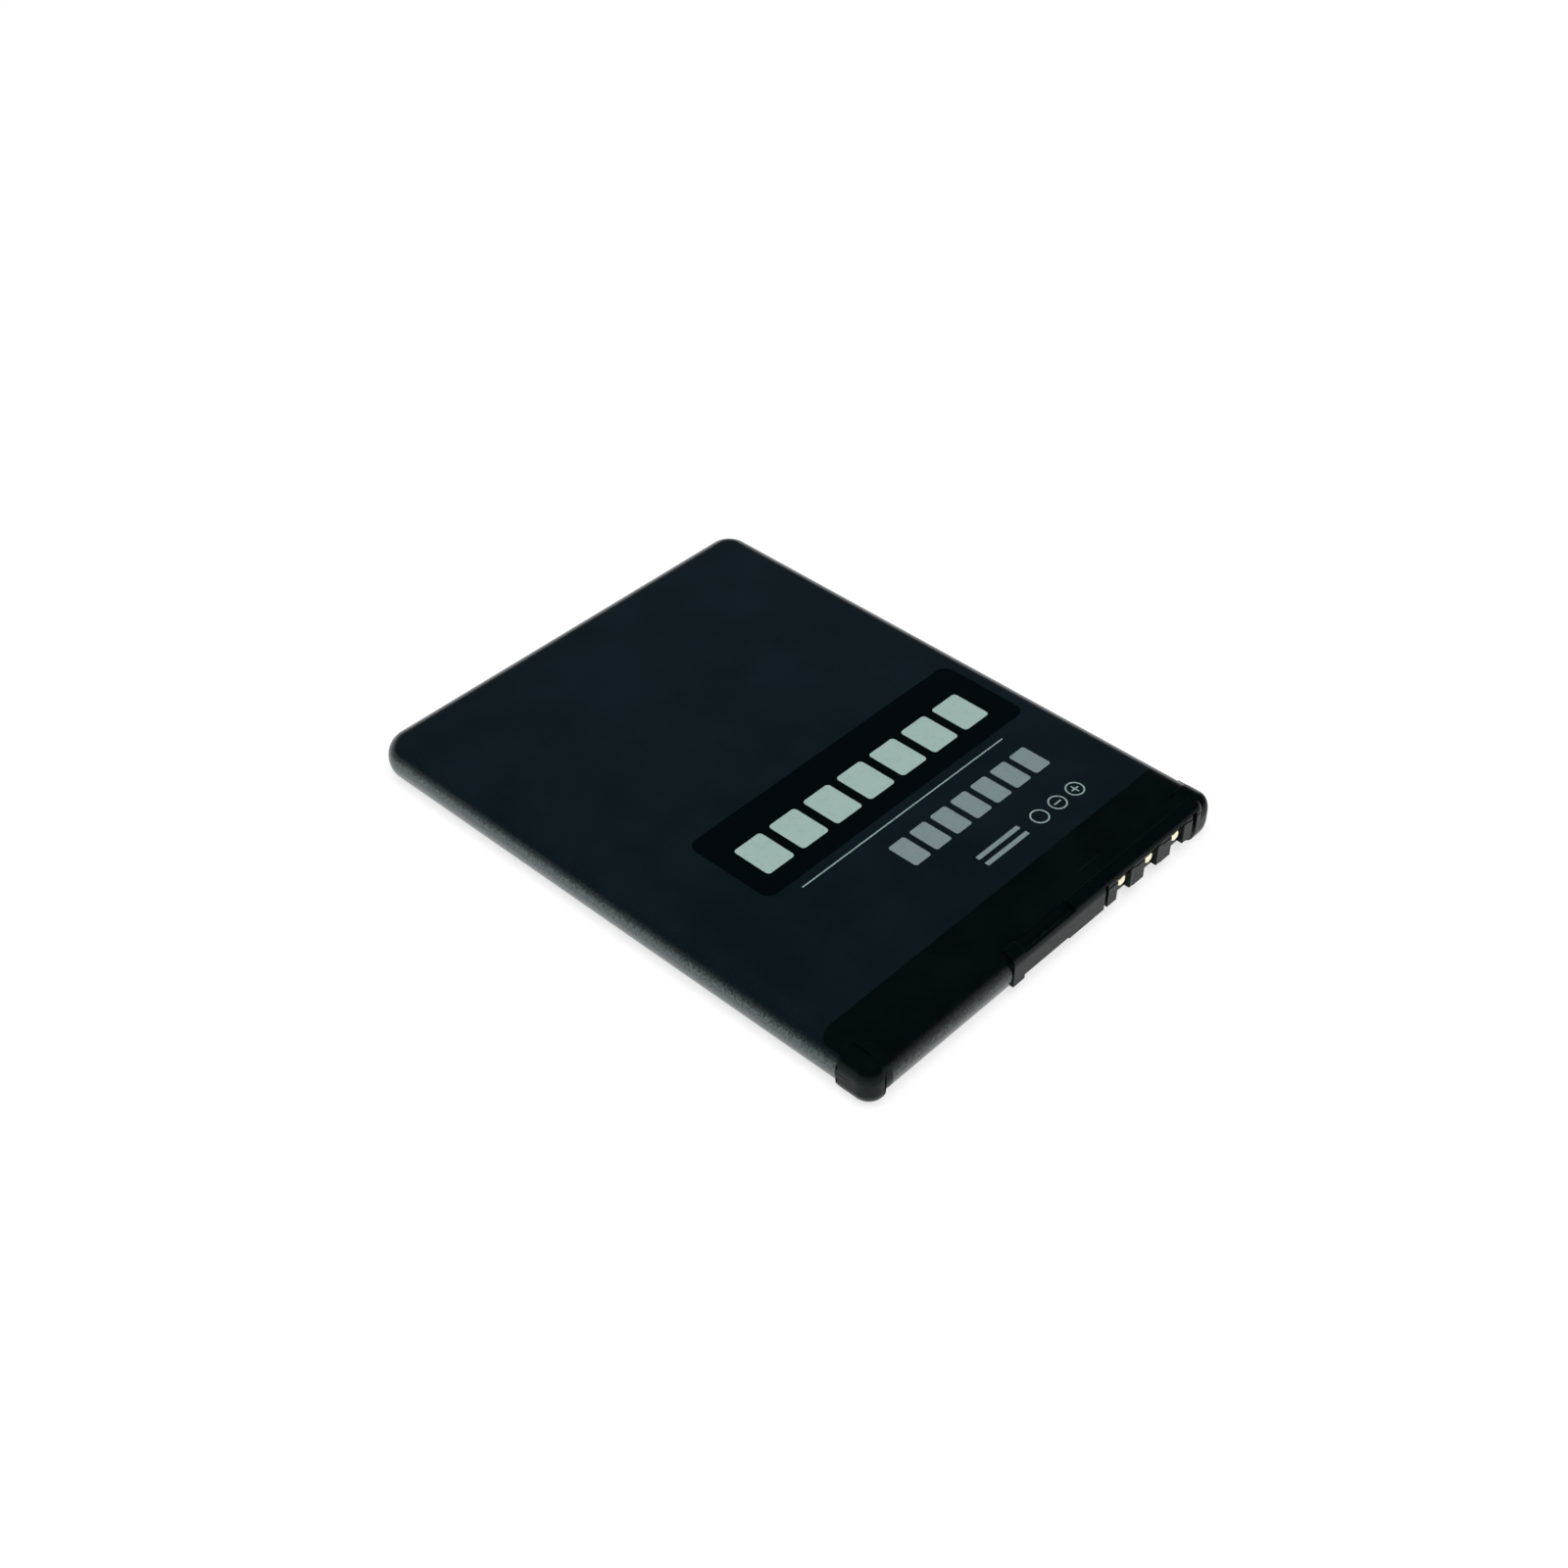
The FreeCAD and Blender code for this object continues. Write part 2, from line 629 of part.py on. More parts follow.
def make_lid_parts():
    """The insulated negative terminal, the fill plug, the weld tab and the sheet that surrounds them."""
    sheet_top = f"({LID} + insulator_thick)"
    gasket = plate("terminal_gasket", LID, f"{LID} + gasket_thick", "0", "gasket_width", GASKET_HEIGHT,
                   "rivet_corner", kind="Chamfer")
    rivet = plate("terminal_rivet", f"{LID} + gasket_thick", RIVET_TOP, "0", "rivet_width",
                  f"{GASKET_HEIGHT} - 2 * gasket_border", "rivet_corner", kind="Chamfer")
    ease(rivet, "Chamfer", "insulator_thick", lambda edge: near(edge.BoundBox.YMin, edge.BoundBox.YMax)
         and near(edge.BoundBox.YMax, amount(RIVET_TOP)))
    plug = new_body("fill_plug")
    dome = outline(plug, "XY", MIDDLE, [
        (PLUG, LID), (f"{PLUG} + plug_radius", LID), (f"{PLUG} + plug_radius", f"{LID} + plug_thick / 2"),
        (f"{PLUG} + plug_radius / 2", f"{LID} + plug_thick"), (PLUG, f"{LID} + plug_thick")])
    turned = plug.newObject("PartDesign::Revolution", "plug_turned")
    turned.Profile = dome
    turned.ReferenceAxis = (dome, ["Edge5"])
    turned.Angle = 360
    doc.recompute()
    tab_height = f"({CAVITY_HEIGHT} - 2 * tab_border)"
    tab = plate("weld_tab", LID, f"{LID} + tab_thick", TAB, "tab_width", tab_height)
    blank = plate("insulator_blank", LID, sheet_top, "0", f"2 * ({CAVITY_SIDE} - insulator_fit)",
                  f"{CAVITY_HEIGHT} - insulator_fit", "window_corner", kind="Chamfer")
    openings = [
        plate(f"insulator_hole_{number}", f"{LID} - 1", f"{sheet_top} + 1", middle, width, height)
        for number, (middle, width, height) in enumerate([
            ("0", "gasket_width + insulator_fit", f"{GASKET_HEIGHT} + insulator_fit"),
            (PLUG, "2 * (plug_radius + insulator_fit)", "2 * (plug_radius + insulator_fit)"),
            (TAB, "tab_width + insulator_fit", f"{tab_height} + insulator_fit")], start=1)]
    sheet_piece = combine("Cut", "lid_insulator", blank, join("insulator_holes", openings))
    return [gasket, rivet, plug, tab, sheet_piece]


def bent_strip(name, foot_start, riser, rear, flange):
    """A nickel strip that lies on one part, rises to the board and lies on the board's back."""
    body = new_body(name)
    low = f"{BOARD_MIDDLE} - {STRIP_WIDTH} / 2"
    top = BOARD_BACK
    under = f"({top} - strip_thick)"
    inside = f"({riser} - strip_thick)"
    over = f"({rear} + strip_thick)"
    sketch = outline(body, "XY", low, [
        (foot_start, rear), (riser, rear), (riser, under), (flange, under),
        (flange, top), (inside, top), (inside, over), (foot_start, over)])
    pad(body, sketch, STRIP_WIDTH)
    ease(body, "Fillet", "strip_bend", upright_at(x=riser, y=rear))
    ease(body, "Fillet", "strip_bend", upright_at(x=inside, y=top))
    return body


def make_strips():
    """Nickel strips: can to board, and rivet to thermal cut-off to board."""
    tab_top = f"({LID} + tab_thick)"
    positive = bent_strip("positive_strip", f"{TAB_RISER} - strip_foot", TAB_RISER, tab_top,
                          f"{TAB_RISER} + strip_flange")
    rivet_strip = plate("rivet_strip", RIVET_TOP, f"{RIVET_TOP} + strip_thick",
                        f"({CUTOFF} + cutoff_width / 2 - rivet_width / 2) / 2",
                        f"{CUTOFF} + cutoff_width / 2 + rivet_width / 2", STRIP_WIDTH)
    cutoff = plate("thermal_cutoff", f"{RIVET_TOP} + strip_thick", CUTOFF_TOP, CUTOFF,
                   "cutoff_width", f"{CAVITY_HEIGHT} - 2 * cutoff_border")
    ease(cutoff, "Chamfer", "insulator_thick", lambda edge: runs_along(edge, 1))
    board_strip = bent_strip("cutoff_strip", f"{CUTOFF_RISER} - strip_foot", CUTOFF_RISER, CUTOFF_TOP,
                             f"{CUTOFF_RISER} + strip_flange")
    return [positive, rivet_strip, cutoff, board_strip]


# Protection board

def make_board():
    return block("circuit_board", (BOARD_START, BOARD_BACK, BOARD_LOW), (BOARD_END, BOARD_FRONT, BOARD_HIGH))


def make_contacts():
    """Gold-plated contacts, each a block on the board's front that fills its window."""
    pieces = []
    for number, name in enumerate(("contact_data", "contact_negative", "contact_positive")):
        place = f"{INNER_CONTACT} - {number} * pocket_pitch"
        centre = f"(({WINDOW_LOW} + {WINDOW_HIGH}) / 2)"
        height = f"{WINDOW_HIGH} - {WINDOW_LOW} - 2 * contact_fit"
        pieces.append(plate(name, BOARD_FRONT, f"{POCKET_FLOOR} - contact_sink", place,
                            "window_width - 2 * contact_fit", height, "window_corner - contact_fit", centre))
    return pieces


def chip(name, place, length, border, thick):
    """A moulded chip on the board's back, with leads on its upper and lower sides."""
    face = f"({BOARD_BACK} - {thick})"
    body = plate(f"{name}_body", face, BOARD_BACK, place, length, f"{BOARD_HEIGHT} - 2 * {border}", None,
                 BOARD_MIDDLE)
    ease(body, "Chamfer", "lead_thick", lambda edge: near(edge.BoundBox.YMax, amount(face)))
    rows = []
    for number, way in enumerate(LEAD_WAYS):
        spot = f"({place} + ({way}) * lead_pitch)"
        rows.append(plate(f"{name}_lead_{number + 1}", f"{BOARD_BACK} - lead_thick", BOARD_BACK, spot,
                          "lead_width", f"{BOARD_HEIGHT} - lead_thick", None, BOARD_MIDDLE))
    return join(name, [body] + rows)


def small_part(name, place):
    """A chip resistor or capacitor: a body between two slightly larger end caps."""
    body = plate(f"{name}_body", f"{BOARD_BACK} - small_thick", BOARD_BACK, place,
                 "small_length", "small_height", None, BOARD_MIDDLE)
    ends = []
    rear = f"({BOARD_BACK} - small_thick - small_proud)"
    for side, way in (("left", "-"), ("right", "+")):
        spot = f"{place} {way} (small_length - small_end) / 2"
        ends.append(plate(f"{name}_{side}", rear, BOARD_BACK, spot, "small_end + 2 * small_proud",
                          "small_height + 2 * small_proud", None, BOARD_MIDDLE))
    return join(name, [body] + ends)


def make_board_parts():
    pieces = [
        chip("protection_chip", CHIP, "chip_length", "chip_border", "chip_thick"),
        chip("switch_chip", SWITCH, "switch_length", "switch_border", "switch_thick")]
    places = [f"({BOARD_START} + small_margin)", f"({BOARD_START} + small_margin + small_pitch)",
              f"({CHIP} - (chip_length + small_length) / 2 - parts_gap)",
              f"({SWITCH} + (switch_length + small_length) / 2 + parts_gap)",
              f"({BOARD_END} - small_length)"]
    names = ["coding_resistor", "sense_resistor", "filter_capacitor", "gate_capacitor", "supply_resistor"]
    for name, place in zip(names, places):
        pieces.append(small_part(name, place))
    return pieces


def write_steps(pieces):
    """Checks every object, then writes one file for each piece."""
    doc.recompute()
    for item in doc.Objects:
        if "Invalid" in item.State or "Error" in item.State:
            raise RuntimeError(f"{item.Label} is not built: {item.State}")
    os.makedirs("parts", exist_ok=True)
    for piece in pieces:
        if piece.Shape.isNull() or not piece.Shape.isValid():
            raise RuntimeError(f"{piece.Label} has no valid shape")
        piece.Shape.exportStep(os.path.join("parts", f"{piece.Label}.step"))
        print(f"{piece.Label}: {len(piece.Shape.Solids)} solid, {piece.Shape.Volume:.2f} mm3")


fill_sheet()
outer, inner, core, rim = make_forms()
pieces = [make_label_wrap(outer, inner), make_end_film(outer, inner), make_end_cap(outer, core, rim)]
pieces += [make_cell(core), make_tail_cover(core)] + make_tapes(core)
pieces += make_lid_parts()
pieces += make_strips()
pieces += [make_board()] + make_contacts() + make_board_parts()
write_steps(pieces)
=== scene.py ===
"""A flat phone battery pack in its printed film and moulded end cap, on a plain white studio floor."""
import logging
import math
from collections.abc import Iterable
from dataclasses import dataclass, field
from enum import Enum

import bpy
import numpy as np
from mathutils import Matrix, Vector


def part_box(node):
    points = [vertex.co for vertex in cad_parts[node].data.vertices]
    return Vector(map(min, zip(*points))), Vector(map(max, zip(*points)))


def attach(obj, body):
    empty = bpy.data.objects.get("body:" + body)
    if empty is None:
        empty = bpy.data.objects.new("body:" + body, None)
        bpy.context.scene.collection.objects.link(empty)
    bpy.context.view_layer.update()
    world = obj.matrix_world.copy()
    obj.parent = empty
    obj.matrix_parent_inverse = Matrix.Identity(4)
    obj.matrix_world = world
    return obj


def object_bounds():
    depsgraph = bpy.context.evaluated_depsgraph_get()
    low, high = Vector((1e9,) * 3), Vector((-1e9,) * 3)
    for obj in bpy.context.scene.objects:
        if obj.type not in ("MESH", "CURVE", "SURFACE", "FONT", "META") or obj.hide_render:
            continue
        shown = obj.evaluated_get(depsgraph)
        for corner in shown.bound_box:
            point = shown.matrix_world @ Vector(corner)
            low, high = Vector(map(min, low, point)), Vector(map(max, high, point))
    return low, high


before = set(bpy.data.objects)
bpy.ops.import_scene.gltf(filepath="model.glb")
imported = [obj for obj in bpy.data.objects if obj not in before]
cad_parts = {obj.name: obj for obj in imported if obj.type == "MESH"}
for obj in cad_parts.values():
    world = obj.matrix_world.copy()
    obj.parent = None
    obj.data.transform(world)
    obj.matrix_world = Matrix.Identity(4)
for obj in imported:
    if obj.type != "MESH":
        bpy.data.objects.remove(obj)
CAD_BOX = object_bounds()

LOG = logging.getLogger("battery_pack")
MM = 0.001
# The black plastic's darker and lighter colour, and how high the film's edge lies on the cap
CAP_BLACKS = ((0.0028, 0.0062, 0.0062), (0.0068, 0.0130, 0.0125))
CAP_FILM_LINE = 3.35
# The gold's fresh colour and its worn one
CONTACT_GOLDS = ((0.99, 0.93, 0.68), (0.95, 0.86, 0.58))
# How far inside a film's top or bottom its flat starts, and where it is full
FLAT_EDGE = (0.12, 0.04)
Socket = bpy.types.NodeSocket
Colour = tuple[float, float, float]
Point = tuple[float, float, float]


class Slot(Enum):
    """Names of two material slots, of the cap's plastic and of the gold plate."""

    CAP = "cap_plastic"
    GOLD = "gold_plate"


class Graph:
    """A material's node tree, with short calls for the nodes that the finishes share.

    Lengths are in millimetres.
    """

    def __init__(self, name: str) -> None:
        """Starts an empty tree.

        Args:
            name: the material's name.
        """
        self.material = bpy.data.materials.new(name)
        self.material.use_nodes = True
        self.tree = self.material.node_tree
        self.tree.nodes.clear()
        here = self.add("ShaderNodeTexCoord").outputs["Object"]
        self.place = self.vector("SCALE", here, scale=1.0 / MM)

    def add(self, kind: str, **settings: object) -> bpy.types.Node:
        """Adds a node.

        Args:
            kind: the node's type name.
            settings: the node's own properties.

        Returns:
            The new node.
        """
        node = self.tree.nodes.new(kind)
        for name, value in settings.items():
            setattr(node, name, value)
        return node

    def feed(self, target: Socket, value: object) -> None:
        """Links a socket to the target, or writes a plain value on it.

        Args:
            target: the input to fill.
            value: a socket, a number, or a tuple.
        """
        if isinstance(value, bpy.types.NodeSocket):
            self.tree.links.new(value, target)
        elif value is not None:
            target.default_value = value

    def math(self, operation: str, first: object, second: object = None, clamp: bool = False) -> Socket:
        """One Math node.

        Args:
            operation: the node's operation.
            first: the first operand.
            second: the second operand, where it has one.
            clamp: keeps the result between 0 and 1.

        Returns:
            The result's socket.
        """
        node = self.add("ShaderNodeMath", operation=operation, use_clamp=clamp)
        self.feed(node.inputs[0], first)
        if second is not None:
            self.feed(node.inputs[1], second)
        return node.outputs[0]

    def vector(self, operation: str, first: object, second: object = None,
               scale: float | None = None) -> Socket:
        """One Vector Math node.

        Args:
            operation: the node's operation.
            first: the first vector.
            second: the second vector, where it has one.
            scale: the factor of a SCALE.

        Returns:
            The vector's socket, or the number's for a LENGTH or a DOT_PRODUCT.
        """
        node = self.add("ShaderNodeVectorMath", operation=operation)
        self.feed(node.inputs[0], first)
        self.feed(node.inputs[1], second)
        if scale is not None:
            node.inputs["Scale"].default_value = scale
        number = operation in ("LENGTH", "DOT_PRODUCT", "DISTANCE")
        return node.outputs["Value" if number else "Vector"]

    def part(self, vector: Socket, axis: str) -> Socket:
        """One axis of a vector.

        Args:
            vector: the vector that is read.
            axis: X, Y or Z.

        Returns:
            The number's socket.
        """
        node = self.add("ShaderNodeSeparateXYZ")
        self.feed(node.inputs[0], vector)
        return node.outputs[axis]

    def ramp(self, value: Socket, low: float, high: float, start: float = 0.0, end: float = 1.0) -> Socket:
        """A smooth step of the value.

        Args:
            value: the number that is read.
            low: where the step begins.
            high: where it ends, and it may be the lower of the two.
            start: the result at low.
            end: the result at high.

        Returns:
            The result's socket.
        """
        node = self.add("ShaderNodeMapRange", interpolation_type="SMOOTHSTEP")
        numbers = {"Value": value, "From Min": low, "From Max": high, "To Min": start, "To Max": end}
        for name, number in numbers.items():
            self.feed(node.inputs[name], number)
        return node.outputs[0]

    def mix(self, factor: object, first: object, second: object) -> Socket:
        """Two colours, the second by the factor.

        Args:
            factor: 0 for the first, 1 for the second.
            first: a colour or its socket.
            second: a colour or its socket.

        Returns:
            The mixed colour.
        """
        node = self.add("ShaderNodeMix", data_type="RGBA")
        self.feed(node.inputs[0], factor)
        self.feed(node.inputs[6], (*first, 1.0) if isinstance(first, tuple) else first)
        self.feed(node.inputs[7], (*second, 1.0) if isinstance(second, tuple) else second)
        return node.outputs[2]

    def noise(self, grain: float, detail: float = 3.0, stretch: Point = (1.0, 1.0, 1.0)) -> Socket:
        """Smooth noise from 0 to 1.

        Args:
            grain: the size of its spots in millimetres.
            detail: how many finer layers it has.
            stretch: how many grains long a spot is along each axis.

        Returns:
            The noise's socket.
        """
        scaled = self.vector("DIVIDE", self.place, tuple(grain * along for along in stretch))
        node = self.add("ShaderNodeTexNoise")
        self.feed(node.inputs["Vector"], scaled)
        node.inputs["Scale"].default_value = 1.0
        node.inputs["Detail"].default_value = detail
        return node.outputs[0]

    def grain(self, size: float) -> Socket:
        """A grain of scattered cells.

        Args:
            size: how far apart the cells are, in millimetres.

        Returns:
            The distance to the middle of the nearest cell.
        """
        node = self.add("ShaderNodeTexVoronoi")
        self.feed(node.inputs["Vector"], self.vector("SCALE", self.place, scale=1.0 / size))
        node.inputs["Scale"].default_value = 1.0
        return node.outputs["Distance"]

    def bump(self, height: Socket, depth: float, normal: Socket | None = None) -> Socket:
        """A bumped normal.

        Args:
            height: a number from 0 to 1.
            depth: what a height of 1 stands for, in millimetres.
            normal: the normal to start from.

        Returns:
            The normal's socket.
        """
        node = self.add("ShaderNodeBump")
        node.inputs["Distance"].default_value = depth * MM
        self.feed(node.inputs["Height"], height)
        self.feed(node.inputs["Normal"], normal)
        return node.outputs[0]

    def soft_edge(self, radius: float, samples: int = 4) -> Socket:
        """A normal that rounds sharp edges.

        Args:
            radius: the rounding in millimetres.
            samples: how many rays look for an edge.

        Returns:
            The normal's socket.
        """
        node = self.add("ShaderNodeBevel", samples=samples)
        node.inputs["Radius"].default_value = radius * MM
        return node.outputs[0]

    def painted_shade_gloss(self, tint: Colour, low: float, high: float, dull: float = 0.16, speck: float = 0.2,
                     speckle: tuple[float, float] = (0.45, 1.5)) -> Socket:
        """The gloss of a wrapped film: speckled, full low on its side, and dimmed higher up, which paints
        shade on the upper rounding and the flat.

        Args:
            tint: the gloss on the side.
            low: the height in millimetres where it starts to fade.
            high: where it is dull.
            dull: how much of it is left there.
            speck: the size of a speck in millimetres.
            speckle: the least and the most that a speck multiplies it by.

        Returns:
            The tint's socket.
        """
        # Painted shade: the gloss is dimmed with height, so the upper rounding and the flat reflect less
        fade = self.ramp(self.part(self.place, "Z"), low, high, 1.0, dull)
        specks = self.ramp(self.noise(speck, 3.0), 0.38, 0.62, *speckle)
        return self.mix(self.math("MULTIPLY", fade, specks), (0.0, 0.0, 0.0), tint)

    def surface(self, colour: object, roughness: object, normal: Socket | None = None, metal: float = 0.0,
                ior: float = 1.5, tint: object = (1.0, 1.0, 1.0)) -> bpy.types.Material:
        """Closes the tree with one Principled shader.

        Args:
            colour: the base colour or its socket.
            roughness: the roughness or its socket.
            normal: the bumped normal.
            metal: 1 for a metal.
            ior: the index of refraction, which sets the gloss of a dielectric.
            tint: the colour of the gloss seen straight on, or its socket.

        Returns:
            The finished material.
        """
        shader = self.add("ShaderNodeBsdfPrincipled")
        self.feed(shader.inputs["Base Color"], (*colour, 1.0) if isinstance(colour, tuple) else colour)
        self.feed(shader.inputs["Roughness"], roughness)
        self.feed(shader.inputs["Normal"], normal)
        shader.inputs["Metallic"].default_value = metal
        shader.inputs["IOR"].default_value = ior
        self.feed(shader.inputs["Specular Tint"], (*tint, 1.0) if isinstance(tint, tuple) else tint)
        self.feed(self.add("ShaderNodeOutputMaterial").inputs["Surface"], shader.outputs[0])
        return self.material


@dataclass(frozen=True)
class Stencil:
    """A pattern of plain shapes on the flat of the label, in millimetres."""

    graph: Graph
    edge: float = 0.03

    def flat(self, centre: tuple[float, float]) -> Socket:
        """The place on the label's plane, measured from a centre."""
        moved = self.graph.vector("SUBTRACT", self.graph.place, (centre[0], centre[1], 0.0))
        return self.graph.vector("MULTIPLY", moved, (1.0, 1.0, 0.0))

    def box(self, centre: tuple[float, float], half: tuple[float, float], corner: float,
            place: Socket | None = None) -> Socket:
        """A filled box with round corners: what |place| has past the inner box, up to the corner's radius.

        Args:
            centre: its centre.
            half: half its length and half its width.
            corner: the radius of its corners.
            place: the place already measured from the centre, where it is worked out elsewhere.

        Returns:
            1 inside and 0 outside.
        """
        graph = self.graph
        offset = graph.vector("ABSOLUTE", place if place else self.flat(centre))
        past = graph.vector("SUBTRACT", offset, (half[0] - corner, half[1] - corner, 0.0))
        reach = graph.vector("LENGTH", graph.vector("MAXIMUM", past, (0.0, 0.0, 0.0)))
        return graph.ramp(reach, corner + self.edge, corner - self.edge)

    def row(self, first: tuple[float, float], pitch: float, count: int, half: tuple[float, float],
            corner: float) -> Socket:
        """A row of equal boxes: x is wrapped to one pitch, and a long box limits how many there are.

        Args:
            first: the first box's centre.
            pitch: the step from one to the next.
            count: how many.
            half: half of one box's length and width.
            corner: the radius of its corners.

        Returns:
            1 inside the boxes and 0 outside.
        """
        graph = self.graph
        offset = self.flat(first)
        wrapped = graph.add("ShaderNodeMath", operation="WRAP")
        graph.feed(wrapped.inputs[0], graph.part(offset, "X"))
        wrapped.inputs[1].default_value = pitch / 2
        wrapped.inputs[2].default_value = -pitch / 2
        joined = graph.add("ShaderNodeCombineXYZ")
        graph.feed(joined.inputs["X"], wrapped.outputs[0])
        graph.feed(joined.inputs["Y"], graph.part(offset, "Y"))
        one = self.box(first, half, corner, joined.outputs[0])
        middle = (first[0] + pitch * (count - 1) / 2, first[1])
        limit = self.box(middle, (pitch * count / 2, half[1] + pitch), corner)
        return graph.math("MULTIPLY", one, limit)

    def ring(self, centre: tuple[float, float], radius: float, width: float) -> Socket:
        """A thin circle, where the way from the centre is within half the line's width of the radius.

        Args:
            centre: its centre.
            radius: the radius of the line's middle.
            width: the line's width.

        Returns:
            1 on the line and 0 off it.
        """
        away = self.graph.vector("LENGTH", self.flat(centre))
        off = self.graph.math("ABSOLUTE", self.graph.math("SUBTRACT", away, radius))
        return self.graph.ramp(off, width / 2 + self.edge, width / 2 - self.edge)

    def either(self, shapes: Iterable[Socket]) -> Socket:
        """The union of several shapes, as the highest of their numbers.

        Args:
            shapes: the shapes, each 1 inside and 0 outside.

        Returns:
            1 where any of them is.
        """
        shapes = list(shapes)
        total = shapes[0]
        for shape in shapes[1:]:
            total = self.graph.math("MAXIMUM", total, shape)
        return total


@dataclass(frozen=True)
class LabelPrint:
    """What is printed on the label: a black panel, plain blocks, a rule and three pole rings."""

    panel_centre: tuple[float, float] = (-2.85, 5.35)
    panel_half: tuple[float, float] = (15.95, 4.5)
    panel_corner: float = 1.0
    bars_first: tuple[float, float] = (-14.8, 5.95)
    bars_pitch: float = 4.05
    bars_count: int = 7
    bars_half: tuple[float, float] = (1.55, 1.95)
    rule_centre: tuple[float, float] = (-2.1, 10.8)
    rule_half: tuple[float, float] = (12.4, 0.06)
    blocks_first: tuple[float, float] = (-13.9, 14.2)
    blocks_pitch: float = 2.55
    blocks_count: int = 7
    blocks_half: tuple[float, float] = (0.95, 1.5)
    lines_centre: tuple[float, float] = (-4.2, 19.15)
    lines_half: tuple[float, float] = (2.6, 0.22)
    lines_step: float = 0.95
    ring_places: tuple[float, float, float] = (-13.6, -11.3, -8.95)
    ring_row: float = 19.15
    ring_radius: float = 0.77
    ring_line: float = 0.13
    sign_half: float = 0.42
    sign_corner: float = 0.039
    bar_corner: float = 0.35
    block_corner: float = 0.25
    line_corner: float = 0.08
    rule_corner: float = 0.05
    fine_cover: float = 0.8
    dim_cover: float = 0.9
    worn_cover: float = 0.86
    light_ink: Colour = (0.33, 0.45, 0.43)
    dim_ink: Colour = (0.21, 0.27, 0.28)
    panel_ink: Colour = (0.0004, 0.0022, 0.0032)

    def signs(self, stencil: Stencil) -> Socket:
        """A plus in the first ring and a minus in the second.

        Args:
            stencil: the label's stencil.

        Returns:
            1 where the signs are printed.
        """
        line = self.ring_line / 2
        long, thin = (self.sign_half, line), (line, self.sign_half)
        plus, minus = self.ring_places[0], self.ring_places[1]
        return stencil.either([
            stencil.box((plus, self.ring_row), long, self.sign_corner),
            stencil.box((plus, self.ring_row), thin, self.sign_corner),
            stencil.box((minus, self.ring_row), long, self.sign_corner),
        ])

    def apply(self, graph: Graph, film: Socket, top: Socket) -> tuple[Socket, Socket, Socket]:
        """Prints on the film's colour.

        Args:
            graph: the label's graph.
            film: the bare film's colour.
            top: 1 on the label's flat top.

        Returns:
            The printed colour, 1 in the gloss panel, and 1 under any light ink.
        """
        stencil = Stencil(graph)
        panel = stencil.box(self.panel_centre, self.panel_half, self.panel_corner)
        panel = graph.math("MULTIPLY", panel, top)
        bars = stencil.row(self.bars_first, self.bars_pitch, self.bars_count, self.bars_half,
                           self.bar_corner)
        rings = stencil.either(stencil.ring((x, self.ring_row), self.ring_radius, self.ring_line)
                               for x in self.ring_places)
        rule = stencil.box(self.rule_centre, self.rule_half, self.rule_corner)
        blocks = stencil.row(self.blocks_first, self.blocks_pitch, self.blocks_count, self.blocks_half,
                             self.block_corner)
        across, middle = self.lines_centre
        pair = [(across, middle + side * self.lines_step / 2) for side in (-1, 1)]
        lines = stencil.either(stencil.box(place, self.lines_half, self.line_corner) for place in pair)
        fine = graph.math("MULTIPLY", stencil.either([rings, rule, self.signs(stencil)]), self.fine_cover)
        light = graph.math("MULTIPLY", graph.math("MAXIMUM", bars, fine), top)
        dim = graph.math("MULTIPLY", stencil.either([blocks, lines]), self.dim_cover)
        dim = graph.math("MULTIPLY", dim, top)
        worn = graph.ramp(graph.noise(0.5, 4.0), 0.15, 0.5, self.worn_cover, 1.0)
        colour = graph.mix(panel, film, self.panel_ink)
        colour = graph.mix(graph.math("MULTIPLY", dim, worn), colour, self.dim_ink)
        colour = graph.mix(graph.math("MULTIPLY", light, worn), colour, self.light_ink)
        return colour, panel, graph.math("MAXIMUM", light, dim)


